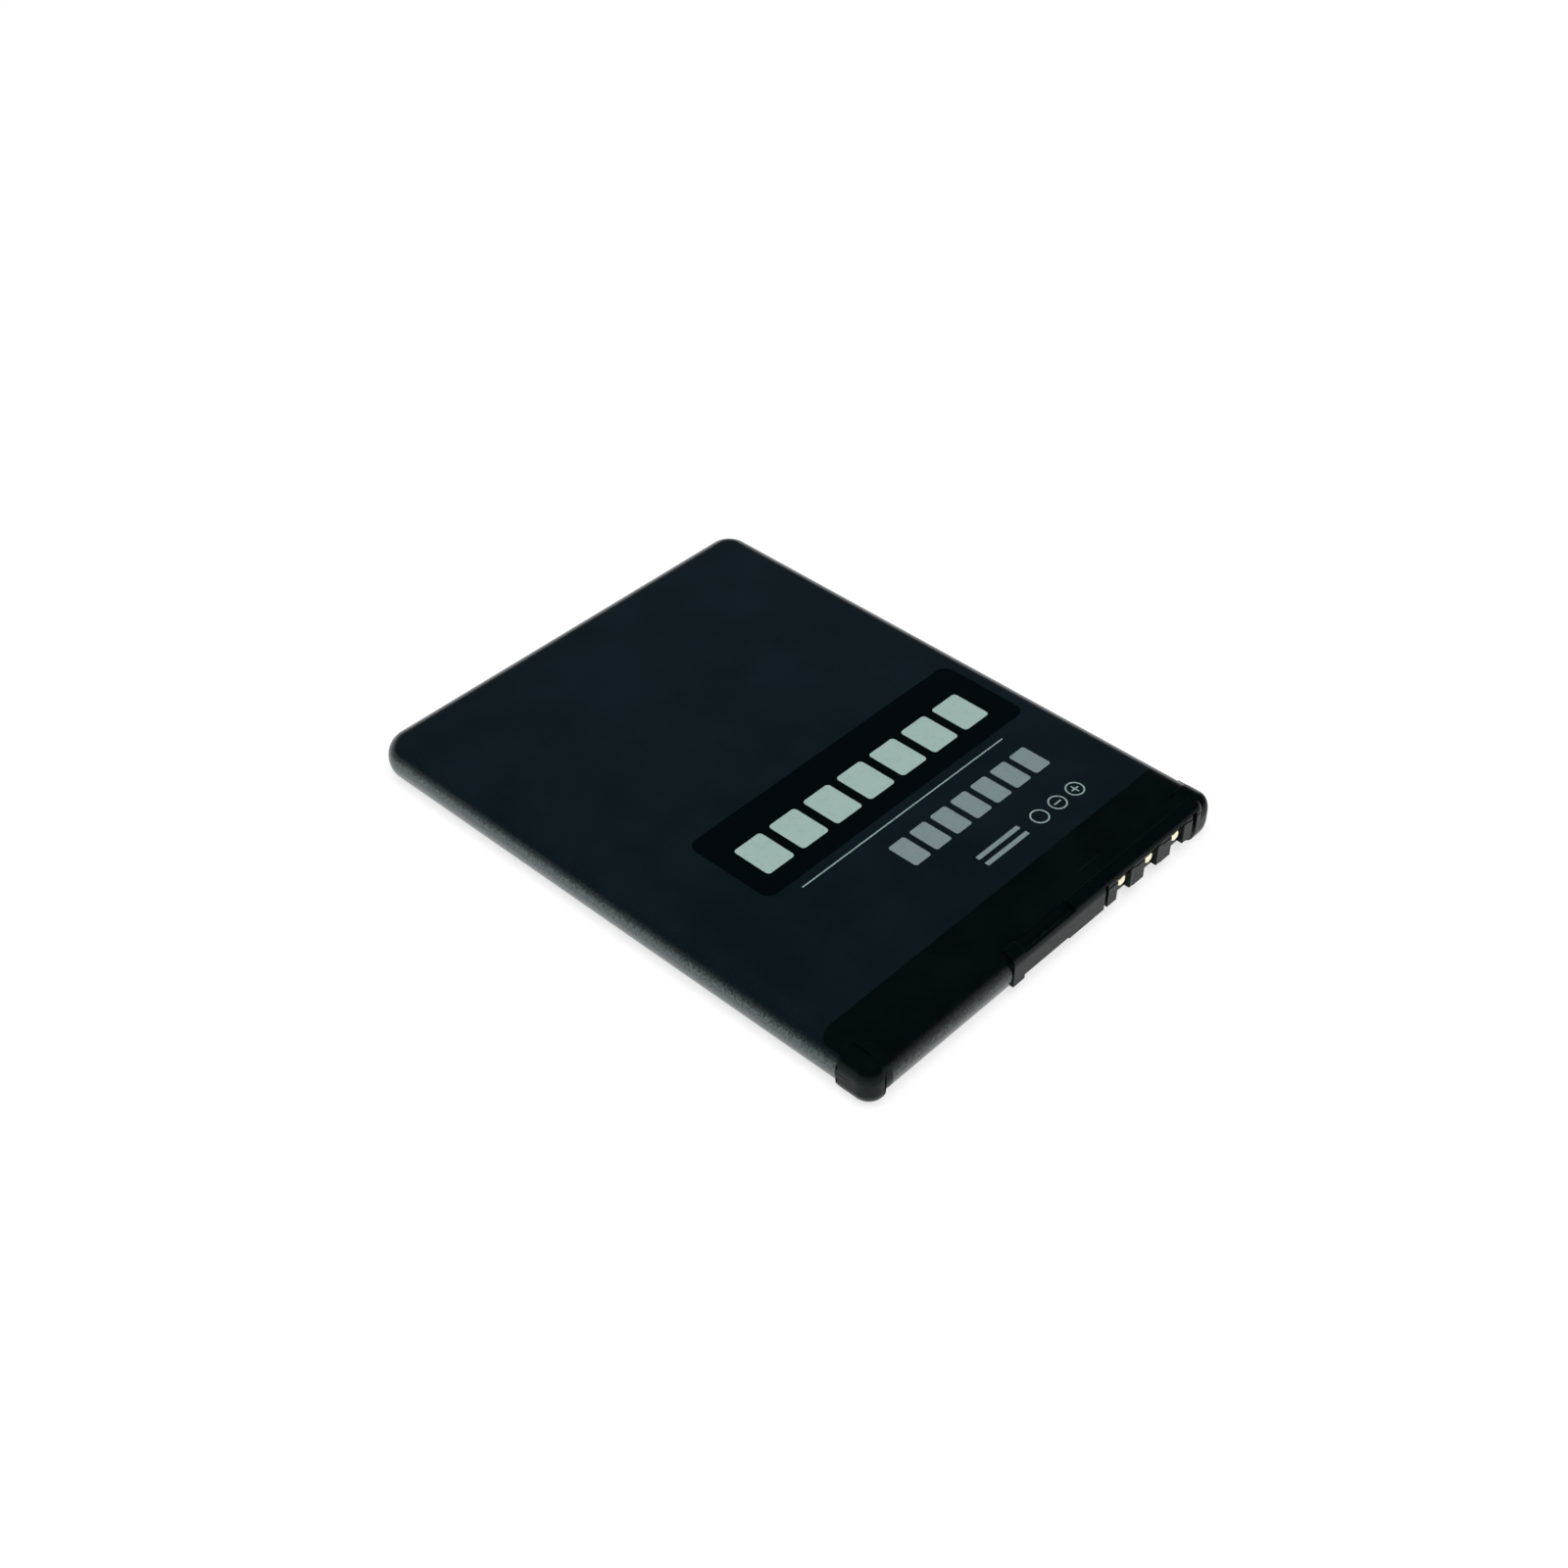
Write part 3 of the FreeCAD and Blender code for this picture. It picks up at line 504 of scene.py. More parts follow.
@dataclass(frozen=True)
class LabelFilm:
    """Slate-blue satin film with fine grain, faint handling marks and its print."""

    low: float
    high: float
    base: Colour = (0.0030, 0.0074, 0.0096)
    pale: Colour = (0.0060, 0.0120, 0.0162)
    roughness: float = 0.19
    ior: float = 1.95
    tint: Colour = (0.80, 0.98, 1.0)
    # The heights over which the gloss fades, a painted shade on the upper rounding
    painted_shade: tuple[float, float] = (2.4, 3.15)
    printing: LabelPrint = field(default_factory=LabelPrint)
    cloud_size: float = 6.0
    cloud_share: float = 0.4
    # The way, span and share of a painted light falloff across the label, paler towards -x and -y
    painted_falloff: Point = (-0.62, -0.78, 0.0)
    painted_falloff_span: tuple[float, float] = (-30.0, 34.0)
    painted_falloff_share: float = 0.6
    mottle: float = 0.07
    scuff: float = 0.05
    panel_gloss: float = 0.08
    grain_size: float = 0.13
    grain_depth: float = 0.009
    ink_depth: float = 0.006
    seam_place: float = -15.0
    seam_slope: float = 0.03
    seam_step: float = 0.04
    wave_size: float = 9.0
    wave_depth: float = 0.05

    def bare(self, graph: Graph) -> Socket:
        """The film's colour before its print: a soft cloud, on a painted light falloff that pales from one
        corner to the other.

        Args:
            graph: the film's graph.

        Returns:
            The colour's socket.
        """
        cloud = graph.ramp(graph.noise(self.cloud_size, 4.0), 0.3, 0.7)
        cloud = graph.math("MULTIPLY", cloud, self.cloud_share)
        # Painted light: the colour pales along this way, in place of the light falling off across the label
        along = graph.vector("DOT_PRODUCT", graph.place, self.painted_falloff)
        painted_falloff = graph.ramp(along, *self.painted_falloff_span, 0.0, self.painted_falloff_share)
        return graph.mix(graph.math("ADD", cloud, painted_falloff), self.base, self.pale)

    def satin(self, graph: Graph, panel: Socket, inked: Socket) -> Socket:
        """The film's roughness: mottled, with long scuffs, and less on the panel where it has no light ink.

        Args:
            graph: the film's graph.
            panel: 1 in the gloss panel.
            inked: 1 under any light ink.

        Returns:
            The roughness's socket.
        """
        mottle = graph.math("MULTIPLY", graph.noise(1.2, 5.0), self.mottle)
        scuffs = graph.ramp(graph.noise(0.25, 5.0, (1.0, 24.0, 1.0)), 0.66, 0.8)
        satin = graph.math("ADD", self.roughness, mottle)
        satin = graph.math("ADD", satin, graph.math("MULTIPLY", scuffs, self.scuff))
        clear = graph.math("SUBTRACT", panel, graph.math("MULTIPLY", inked, panel))
        return graph.math("SUBTRACT", satin, graph.math("MULTIPLY", clear, self.panel_gloss))

    def relief(self, graph: Graph, panel: Socket, inked: Socket, back: Socket) -> Socket:
        """The film's normal: a fine grain, the thickness of the ink, the lap seam and a slow wave.

        Args:
            graph: the film's graph.
            panel: 1 in the gloss panel, whose ink is half as thick.
            inked: 1 under any light ink.
            back: 1 on the flat back, where the seam is.

        Returns:
            The normal's socket.
        """
        ink = graph.math("ADD", inked, graph.math("MULTIPLY", panel, 0.5))
        aside = graph.math("SUBTRACT", graph.part(graph.place, "X"), self.seam_place)
        seam = graph.math("MULTIPLY", graph.ramp(aside, -self.seam_slope, self.seam_slope), back)
        normal = graph.bump(graph.noise(self.grain_size, 1.0), self.grain_depth)
        normal = graph.bump(ink, self.ink_depth, normal)
        normal = graph.bump(seam, self.seam_step, normal)
        return graph.bump(graph.noise(self.wave_size, 1.0), self.wave_depth, normal)

    def build(self) -> bpy.types.Material:
        """Makes the film's material.

        Returns:
            The material.
        """
        graph = Graph("label_film")
        height = graph.part(graph.place, "Z")
        top = graph.ramp(height, *(self.high - edge for edge in FLAT_EDGE))
        back = graph.ramp(height, *(self.low + edge for edge in FLAT_EDGE))
        colour, panel, inked = self.printing.apply(graph, self.bare(graph), top)
        roughness = self.satin(graph, panel, inked)
        normal = self.relief(graph, panel, inked, back)
        tint = graph.painted_shade_gloss(self.tint, *self.painted_shade)
        return graph.surface(colour, roughness, normal, ior=self.ior, tint=tint)


@dataclass(frozen=True)
class BandFilm:
    """Black satin film over the end cap, with a faint scratch and a small stamped mark."""

    top: float
    base: Colour = (0.0010, 0.0028, 0.0031)
    pale: Colour = (0.0018, 0.0040, 0.0045)
    roughness: float = 0.20
    ior: float = 1.65
    tint: Colour = (0.80, 1.0, 1.0)
    # The heights over which the gloss fades, a painted shade on the upper rounding
    painted_shade: tuple[float, float] = (2.0, 3.2)
    mark_centre: tuple[float, float] = (-18.3, 25.5)
    mark_half: tuple[float, float] = (0.32, 0.16)
    mark_depth: float = 0.8
    scratch_centre: tuple[float, float] = (-7.3, 25.35)
    scratch_half: tuple[float, float] = (1.3, 0.03)
    scratch_cover: float = 0.12
    scratch_grey: Colour = (0.045, 0.055, 0.06)
    grain_size: float = 0.13
    grain_depth: float = 0.009
    wave_size: float = 7.0
    wave_depth: float = 0.05

    def build(self) -> bpy.types.Material:
        """Makes the film's material.

        Returns:
            The material.
        """
        graph = Graph("band_film")
        stencil = Stencil(graph)
        top = graph.ramp(graph.part(graph.place, "Z"), *(self.top - edge for edge in FLAT_EDGE))
        mark = graph.math("MULTIPLY", stencil.box(self.mark_centre, self.mark_half, 0.05), top)
        scratch = graph.math("MULTIPLY", stencil.box(self.scratch_centre, self.scratch_half, 0.02), top)
        colour = graph.mix(graph.ramp(graph.noise(4.0, 4.0), 0.3, 0.7), self.base, self.pale)
        colour = graph.mix(graph.math("MULTIPLY", scratch, self.scratch_cover), colour, self.scratch_grey)
        colour = graph.mix(graph.math("MULTIPLY", mark, self.mark_depth), colour, (0.0, 0.0, 0.0))
        roughness = graph.math("ADD", self.roughness, graph.math("MULTIPLY", graph.noise(1.0, 5.0), 0.08))
        normal = graph.bump(graph.noise(self.grain_size, 1.0), self.grain_depth)
        normal = graph.bump(graph.noise(self.wave_size, 1.0), self.wave_depth, normal)
        tint = graph.painted_shade_gloss(self.tint, *self.painted_shade)
        return graph.surface(colour, roughness, normal, ior=self.ior, tint=tint)


@dataclass(frozen=True)
class MouldedPlastic:
    """Moulded plastic with a spark-eroded grain, mottled where it has been handled."""

    name: str
    base: Colour
    pale: Colour
    roughness: float = 0.30
    ior: float = 1.22
    grain: float = 0.09
    depth: float = 0.006
    edge: float = 0.06
    tint: Colour = (0.82, 1.0, 0.98)
    film_line: float | None = None
    film_colour: Colour = (0.0012, 0.0032, 0.0036)
    film_roughness: float = 0.22
    film_wave: float = 0.3
    film_fade: float = 0.25

    def build(self) -> bpy.types.Material:
        """Makes the plastic's material. Above its film line, if any, black film with a wavy edge covers it.

        Returns:
            The material.
        """
        graph = Graph(self.name)
        mottle = graph.ramp(graph.noise(0.45, 5.0), 0.32, 0.68)
        colour = graph.mix(mottle, self.base, self.pale)
        roughness = graph.math("ADD", self.roughness - 0.05, graph.math("MULTIPLY", mottle, 0.12))
        normal = graph.soft_edge(self.edge) if self.edge else None
        normal = graph.bump(graph.grain(self.grain), self.depth, normal)
        if self.film_line is not None:
            wave = graph.math("MULTIPLY", graph.noise(0.8), self.film_wave)
            height = graph.math("ADD", graph.part(graph.place, "Z"), wave)
            film = graph.ramp(height, self.film_line, self.film_line + self.film_fade)
            colour = graph.mix(film, colour, self.film_colour)
            roughness = graph.mix(film, roughness, (self.film_roughness,) * 3)
        return graph.surface(colour, roughness, normal, ior=self.ior, tint=self.tint)


@dataclass(frozen=True)
class SeamPaintedShadow:
    """A painted shadow for the depth of the joint between two mouldings, near black and giving back next to
    no light.
    """

    shadow_black: Colour = (0.0016, 0.0020, 0.0020)

    def build(self) -> bpy.types.Material:
        """Makes the painted shadow's material.

        Returns:
            The material.
        """
        graph = Graph("seam_painted_shadow")
        # Painted shadow: a near-black colour in place of the shade deep in the joint
        colour = graph.mix(graph.noise(0.3), (0.0002, 0.0003, 0.0003), self.shadow_black)
        return graph.surface(colour, 0.9, ior=1.02)


@dataclass(frozen=True)
class PlatedMetal:
    """Rolled or plated metal with fine lines along one axis and small worn spots."""

    name: str
    base: Colour
    worn: Colour
    roughness: float
    lines: Point = (1.0, 1.0, 30.0)
    line_width: float = 0.03
    edge: float = 0.05

    def build(self) -> bpy.types.Material:
        """Makes the metal's material.

        Returns:
            The material.
        """
        graph = Graph(self.name)
        spots = graph.ramp(graph.noise(0.6, 4.0), 0.45, 0.75)
        brushed = graph.noise(self.line_width, 2.0, self.lines)
        colour = graph.mix(spots, self.base, self.worn)
        roughness = graph.math("ADD", self.roughness - 0.04, graph.math("MULTIPLY", brushed, 0.1))
        normal = graph.bump(brushed, 0.002, graph.soft_edge(self.edge))
        return graph.surface(colour, roughness, normal, metal=1.0)


@dataclass(frozen=True)
class BoardLaminate:
    """Glass-fibre laminate under a green solder mask, its weave showing through."""

    mask: Colour = (0.006, 0.085, 0.030)
    copper: Colour = (0.012, 0.150, 0.050)
    weave: float = 0.5

    def build(self) -> bpy.types.Material:
        """Makes the laminate's material: a square weave of two sine waves under broad copper fields.

        Returns:
            The material.
        """
        graph = Graph("board")
        waves = []
        for axis in ("X", "Z"):
            turn = graph.math("MULTIPLY", graph.part(graph.place, axis), 2 * math.pi / self.weave)
            waves.append(graph.math("SINE", turn))
        cloth = graph.ramp(graph.math("MULTIPLY", *waves), -0.6, 0.6)
        fields = graph.ramp(graph.noise(2.5, 0.0), 0.47, 0.5)
        colour = graph.mix(fields, self.mask, self.copper)
        normal = graph.bump(cloth, 0.004)
        normal = graph.bump(fields, 0.03, normal)
        return graph.surface(colour, graph.math("ADD", 0.22, graph.math("MULTIPLY", cloth, 0.08)), normal)


@dataclass(frozen=True)
class FibreSheet:
    """Pressed fibre or adhesive tape, with long soft fibres."""

    name: str
    base: Colour
    pale: Colour
    roughness: float
    fibre: float = 0.06

    def build(self) -> bpy.types.Material:
        """Makes the sheet's material.

        Returns:
            The material.
        """
        graph = Graph(self.name)
        along = graph.noise(self.fibre, 3.0, (14.0, 1.0, 1.0))
        across = graph.noise(self.fibre, 3.0, (1.0, 1.0, 11.0))
        fibres = graph.math("MULTIPLY", graph.math("ADD", along, across), 0.5)
        colour = graph.mix(graph.ramp(fibres, 0.35, 0.65), self.base, self.pale)
        return graph.surface(colour, graph.ramp(fibres, 0.3, 0.7, self.roughness, self.roughness + 0.15),
                             graph.bump(fibres, 0.01))


Finish = LabelFilm | BandFilm | MouldedPlastic | PlatedMetal | BoardLaminate | FibreSheet


def dress(piece: bpy.types.Object, material: bpy.types.Material) -> None:
    """Puts one material on every slot of a piece.

    Args:
        piece: a piece or a carried-over node.
        material: what it is finished in.
    """
    if not piece.material_slots:
        piece.data.materials.append(None)
    for place in piece.material_slots:
        place.material = material


@dataclass
class SubAssembly:
    """Some nodes of the pack and the finish of each."""

    name: str
    finishes: dict[str, Finish]

    def dress(self) -> None:
        """Builds each finish once and puts it on its nodes."""
        made: dict[Finish, bpy.types.Material] = {}
        for node, finish in self.finishes.items():
            if finish not in made:
                made[finish] = finish.build()
            dress(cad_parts[node], made[finish])
            LOG.info("%s: %s in %s", self.name, node, made[finish].name)


def outer_films() -> SubAssembly:
    """The label wrap and the end film, with the label's print placed by the wrap's own flats.

    Returns:
        The sub-assembly.
    """
    low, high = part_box("label_wrap")
    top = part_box("end_film")[1].z / MM
    return SubAssembly("films", {
        "label_wrap": LabelFilm(low.z / MM, high.z / MM),
        "end_film": BandFilm(top),
    })


@dataclass(frozen=True)
class MouldedBlock:
    """A block with upright walls, drawn in at its foot and its crown on the sides that stand free.

    The corners' radii go round from (+x, +y) to (+x, -y). The free sides are +x, -x, +y and -y, each with
    its share of the drawing in.
    """

    name: str
    low: Point
    high: Point
    corners: tuple[float, float, float, float]
    free: tuple[float, float, float, float]
    foot: float
    crown: float
    slot: Slot
    least: float = 0.02
    steps: int = 10

    def profile(self) -> tuple[np.ndarray, np.ndarray, np.ndarray]:
        """The wall from the bottom up: a quarter circle out at the foot, and one in at the crown.

        Returns:
            How far each row is drawn in, its height, and the slope of its normal as an angle.
        """
        turn = np.linspace(0.0, math.pi / 2, self.steps + 1)
        inset = np.concatenate([self.foot * (1 - np.sin(turn)), self.crown * (1 - np.cos(turn))])
        height = np.concatenate([self.low[2] + self.foot * (1 - np.cos(turn)),
                                 self.high[2] - self.crown * (1 - np.sin(turn))])
        slope = np.concatenate([turn - math.pi / 2, turn])
        return inset, height, slope

    def grid(self) -> tuple[np.ndarray, np.ndarray]:
        """Each row is the plan's rectangle less the inset on its free sides, with an arc at each corner.

        Returns:
            The points and their normals, by row, corner and step.
        """
        inset, height, slope = self.profile()
        side = np.array([[1, 1], [-1, 1], [-1, -1], [1, -1]], float)
        start = np.array([0.0, 1.0, 2.0, 3.0]) * math.pi / 2
        turn = start[:, None] + np.linspace(0.0, math.pi / 2, self.steps + 1)
        radius = np.maximum(np.array(self.corners) - inset[:, None], self.least)
        reach = {1: (self.high[0] - inset * self.free[0], self.high[1] - inset * self.free[2]),
                 -1: (self.low[0] + inset * self.free[1], self.low[1] + inset * self.free[3])}
        edge = np.stack([[reach[int(across)][0], reach[int(along)][1]] for across, along in side])
        centre = edge.transpose(2, 0, 1) - side * radius[:, :, None]
        ray = np.stack([np.cos(turn), np.sin(turn)], -1)
        flat = centre[:, :, None, :] + radius[:, :, None, None] * ray
        tall = np.broadcast_to(height[:, None, None, None], (*flat.shape[:3], 1))
        lean = np.cos(slope)[:, None, None, None] * ray
        rise = np.broadcast_to(np.sin(slope)[:, None, None, None], (*flat.shape[:3], 1))
        return np.concatenate([flat, tall], -1), np.concatenate([lean, rise], -1)

    def build(self) -> bpy.types.Object:
        """Makes the block, closed at its bottom and top, with its normals worked out from its form.

        Returns:
            The piece.
        """
        points, normals = self.grid()
        rows, count = points.shape[0], points.shape[1] * points.shape[2]
        caps = [list(range(count))[::-1], list(range((rows - 1) * count, rows * count))]
        faces = ring_quads(rows, count).tolist() + caps
        return new_piece(self.name, points.reshape(-1, 3), faces, normals.reshape(-1, 3))


@dataclass(frozen=True)
class ContactCrown:
    """The pressed dome of one gold contact, which stands out from its plate towards the phone's spring."""

    name: str
    centre: Point
    half: tuple[float, float]
    root: float
    rings: int = 12
    spokes: int = 40
    squareness: float = 2.6
    fullness: int = 6

    def build(self) -> bpy.types.Object:
        """Makes the dome from rings of one superellipse. They rise by the root of 1 - out ** fullness.

        Returns:
            The piece.
        """
        turn = np.linspace(0.0, 2 * math.pi, self.spokes, endpoint=False)
        ray = np.stack([np.cos(turn), np.sin(turn)])
        outline = np.sign(ray) * np.abs(ray) ** (2 / self.squareness) * np.array(self.half)[:, None]
        out = np.sin(np.linspace(0.0, math.pi / 2, self.rings + 1))[1:]
        depth = self.root + (self.centre[1] - self.root) * (1 - out ** self.fullness) ** 0.5
        points = np.stack([self.centre[0] + np.outer(out, outline[0]),
                           np.repeat(depth[:, None], self.spokes, 1),
                           self.centre[2] + np.outer(out, outline[1])], -1).reshape(-1, 3)
        tip = len(points)
        fan = [[tip, (index + 1) % self.spokes, index] for index in range(self.spokes)]
        back = [list(range((self.rings - 1) * self.spokes, self.rings * self.spokes))]
        faces = ring_quads(self.rings, self.spokes).tolist() + fan + back
        return new_piece(self.name, np.concatenate([points, [self.centre]]), faces)


def ring_quads(rows: int, count: int) -> np.ndarray:
    """The quads between closed rows of points, each of which ends where it starts.

    Args:
        rows: how many rows.
        count: how many points a row has.

    Returns:
        The four points of each quad, by number.
    """
    row, col = np.meshgrid(np.arange(rows - 1) * count, np.arange(count), indexing="ij")
    after = (col + 1) % count
    return np.stack([row + col, row + after, row + count + after, row + count + col], -1).reshape(-1, 4)


def new_piece(name: str, points: np.ndarray, faces: list[list[int]],
              normals: np.ndarray | None = None) -> bpy.types.Object:
    """Makes one smooth piece that rides on the pack.

    Args:
        name: the piece's name.
        points: its points in millimetres.
        faces: its faces, each a list of points.
        normals: a normal for each point, where they are worked out.

    Returns:
        The piece.
    """
    mesh = bpy.data.meshes.new(name)
    mesh.from_pydata((points * MM).tolist(), [], faces)
    mesh.shade_smooth()
    if normals is not None:
        mesh.normals_split_custom_set_from_vertices(normals.tolist())
    piece = bpy.data.objects.new(name, mesh)
    bpy.context.collection.objects.link(piece)
    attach(piece, "root")
    LOG.info("%s: %d points, %d faces", name, len(mesh.vertices), len(mesh.polygons))
    return piece


@dataclass
class EndFittings:
    """What stands out at the contact end: the corner lugs, the pocket jambs and the contacts' domes."""

    near_inner: tuple[float, float] = (19.86, 24.48)
    near_corner: float = 1.6
    near_foot: float = 1.5
    near_crown: float = 1.7
    far_inner: tuple[float, float] = (-18.79, 25.3)
    far_corner: float = 1.6
    far_foot: float = 1.5
    far_crown: float = 1.9
    far_reach: float = 0.58
    inner_corner: float = 0.1
    film_line: float = 2.95
    joint_width: float = 0.17
    joint_sink: float = 0.03
    joint_crown: float = 0.3
    hairline: float = 0.01
    jamb_start: float = 0.78
    jamb_width: float = 0.7
    jamb_depth: float = 0.6
    jamb_low: float = 1.28
    jamb_high: float = 3.32
    jamb_round: float = 0.1
    jamb_back: float = 0.03
    dome_half: tuple[float, float] = (0.54, 0.52)
    dome_rise: float = 0.42
    dome_lift: float = 0.07
    dome_root: float = 0.05
    near_free: tuple[float, float, float, float] = (1.0, 0.0, 1.0, 0.0)
    contacts: tuple[str, ...] = ("contact_positive", "contact_data", "contact_negative")

    def box(self) -> tuple[Point, Point]:
        """The pack's box in millimetres, a hairline smaller on all sides but its bottom.

        Returns:
            The lowest and the highest corner.
        """
        low, high = (tuple(number / MM for number in corner) for corner in CAD_BOX)
        inner = (low[0] + self.hairline, low[1] + self.hairline, low[2])
        return inner, tuple(number - self.hairline for number in high)

    def centre(self, name: str) -> Point:
        """The middle of a node's box in millimetres, at its front."""
        low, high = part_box(name)
        return ((low.x + high.x) / 2 / MM, high.y / MM, (low.z + high.z) / 2 / MM)

    def near_lug(self) -> bpy.types.Object:
        """Makes the near lug, squarer than the corner that it stands on.

        Returns:
            The piece.
        """
        low, high = self.box()
        corners = (self.near_corner, *[self.inner_corner] * 3)
        return MouldedBlock("corner_lug_near", (*self.near_inner, low[2]), high, corners, self.near_free,
                            self.near_foot, self.near_crown, Slot.CAP).build()

    def lug_seam_shadow(self) -> bpy.types.Object:
        """Makes a dark strip behind the near lug, a little sunk, and up to the film's edge, which paints the
        shadow in the joint.

        Returns:
            The piece.
        """
        low, high = self.box()
        inner = [start - self.joint_width for start in self.near_inner]
        outer = [end - self.joint_sink for end in high[:2]]
        corners = (self.near_corner, *[self.inner_corner] * 3)
        return MouldedBlock("corner_lug_seam_shadow", (*inner, low[2] + self.joint_sink), (*outer, self.film_line),
                            corners, self.near_free, self.near_foot, self.joint_crown, Slot.CAP).build()

    def far_lug(self) -> bpy.types.Object:
        """Makes the far lug, from the far side to its slot.

        Returns:
            The piece.
        """
        low, high = self.box()
        corners = (self.inner_corner, self.far_corner, self.inner_corner, self.inner_corner)
        return MouldedBlock("corner_lug_far", (low[0], self.far_inner[1], low[2]),
                            (self.far_inner[0], *high[1:]), corners, (0.0, 1.0, self.far_reach, 0.0),
                            self.far_foot, self.far_crown, Slot.CAP).build()

    def jamb(self, number: int, contact: str) -> bpy.types.Object:
        """Makes the crisp upright edge of the block beside a pocket.

        Args:
            number: the pocket's number.
            contact: the contact in it.

        Returns:
            The piece.
        """
        face = CAD_BOX[1].y / MM - self.hairline / 2
        edge = self.centre(contact)[0] - self.jamb_start
        low = (edge - self.jamb_width, face - self.jamb_depth, self.jamb_low)
        corners = (self.jamb_round, *[self.jamb_back] * 3)
        return MouldedBlock(f"pocket_jamb_{number}", low, (edge, face, self.jamb_high), corners,
                            self.near_free, self.jamb_round, self.jamb_round, Slot.CAP).build()

    def dome(self, contact: str) -> bpy.types.Object:
        """Makes the dome on a contact's plate.

        Args:
            contact: the contact's node.

        Returns:
            The piece.
        """
        x, y, z = self.centre(contact)
        tip = (x, y + self.dome_rise, z + self.dome_lift)
        return ContactCrown(f"{contact}_dome", tip, self.dome_half, y - self.dome_root).build()

    def build(self) -> None:
        """Makes the pieces and finishes them."""
        plain = MouldedPlastic("fitting_plastic", *CAP_BLACKS)
        wrapped = MouldedPlastic("lug_plastic", *CAP_BLACKS, film_line=self.film_line)
        barred = MouldedPlastic("far_lug_plastic", *CAP_BLACKS, film_line=CAP_FILM_LINE)
        dress(self.near_lug(), wrapped.build())
        # A dark strip that paints the shadow in the joint behind the near lug
        dress(self.lug_seam_shadow(), SeamPaintedShadow().build())
        dress(self.far_lug(), barred.build())
        crisp = plain.build()
        for number, contact in enumerate(self.contacts):
            dress(self.jamb(number, contact), crisp)
        gold = PlatedMetal("dome_gold", *CONTACT_GOLDS, 0.30).build()
        for contact in self.contacts:
            dress(self.dome(contact), gold)


def end_cap() -> SubAssembly:
    """The moulded cap, its tail cover and the gold contacts.

    Returns:
        The sub-assembly.
    """
    black = MouldedPlastic("cap_plastic", *CAP_BLACKS, film_line=CAP_FILM_LINE)
    gold = PlatedMetal("gold_plate", *CONTACT_GOLDS, 0.24)
    return SubAssembly("cap", {
        "end_cap": black,
        "tail_cover": black,
        "contact_positive": gold,
        "contact_data": gold,
        "contact_negative": gold,
    })


def cell_stack() -> SubAssembly:
    """The sealed cell, its terminal, and the strips and tapes on its ends.

    Returns:
        The sub-assembly.
    """
    gasket = MouldedPlastic("gasket", (0.035, 0.036, 0.038), (0.050, 0.051, 0.053), 0.45, edge=0.0)
    case = MouldedPlastic("cutoff_case", (0.030, 0.032, 0.034), (0.045, 0.047, 0.050), 0.4, edge=0.0)
    can = PlatedMetal("cell_aluminium", (0.80, 0.81, 0.82), (0.70, 0.71, 0.73), 0.34, (1.0, 40.0, 1.0))
    nickel = PlatedMetal("nickel_strip", (0.66, 0.63, 0.58), (0.56, 0.53, 0.49), 0.30, (40.0, 1.0, 1.0))
    tape = FibreSheet("tape", (0.62, 0.56, 0.30), (0.74, 0.68, 0.40), 0.35)
    return SubAssembly("cell", {
        "cell_can": can,
        "fill_plug": can,
        "terminal_rivet": nickel,
        "weld_tab": nickel,
        "positive_strip": nickel,
        "rivet_strip": nickel,
        "cutoff_strip": nickel,
        "terminal_gasket": gasket,
        "lid_insulator": FibreSheet("fibre_sheet", (0.44, 0.40, 0.30), (0.55, 0.50, 0.38), 0.7),
        "thermal_cutoff": case,
        "tail_tape": tape,
        "cap_tape": tape,
    })


def protection_board() -> SubAssembly:
    """The protection circuit's board and the parts soldered to it.

    Returns:
        The sub-assembly.
    """
    chip = MouldedPlastic("chip_body", (0.014, 0.014, 0.015), (0.024, 0.024, 0.026), 0.45, edge=0.02)
    resistor = MouldedPlastic("resistor_body", (0.018, 0.018, 0.020), (0.030, 0.030, 0.034), 0.3, edge=0.02)
    capacitor = MouldedPlastic("capacitor_body", (0.30, 0.19, 0.11), (0.36, 0.24, 0.15), 0.4, edge=0.02)
    return SubAssembly("board", {
        "circuit_board": BoardLaminate(),
        "protection_chip": chip,
        "switch_chip": chip,
        "supply_resistor": resistor,
        "sense_resistor": resistor,
        "coding_resistor": resistor,
        "filter_capacitor": capacitor,
        "gate_capacitor": capacitor,
    })


def direction(azimuth: float, elevation: float) -> Vector:
    """The way out from the pack: azimuth 0 is towards -Y and 90 towards +X, and elevation 90 is straight up.

    Args:
        azimuth: the angle round the pack in degrees.
        elevation: the angle above the floor in degrees.

    Returns:
        A vector of length 1.
    """
    turn, lift = math.radians(azimuth), math.radians(elevation)
    return Vector((math.sin(turn) * math.cos(lift), -math.cos(turn) * math.cos(lift), math.sin(lift)))


@dataclass(frozen=True)
class CameraPlace:
    """Where the camera stands, by its aim point, direction, distance and tilt."""

    aim: Point = (-0.3655, -1.0579, 1.0368)
    azimuth: float = 132.688
    elevation: float = 41.104
    roll: float = 0.3726
    distance: float = 194.74
    focal_length: float = 53.17
    sensor: float = 36.0

    def build(self) -> None:
        """Makes the camera. It looks from aim + distance · back, and turns by the roll about its own axis."""
        data = bpy.data.cameras.new("camera")
        data.lens = self.focal_length
        data.sensor_width = self.sensor
        data.clip_start = 10 * MM
        data.clip_end = 10.0
        camera = bpy.data.objects.new("camera", data)
        back = direction(self.azimuth, self.elevation)
        roll = Matrix.Rotation(math.radians(self.roll), 3, "Z")
        facing = (-back).to_track_quat("-Z", "Y").to_matrix() @ roll
        place = (Vector(self.aim) + back * self.distance) * MM
        camera.matrix_world = Matrix.Translation(place) @ facing.to_4x4()
        bpy.context.collection.objects.link(camera)
        bpy.context.scene.camera = camera


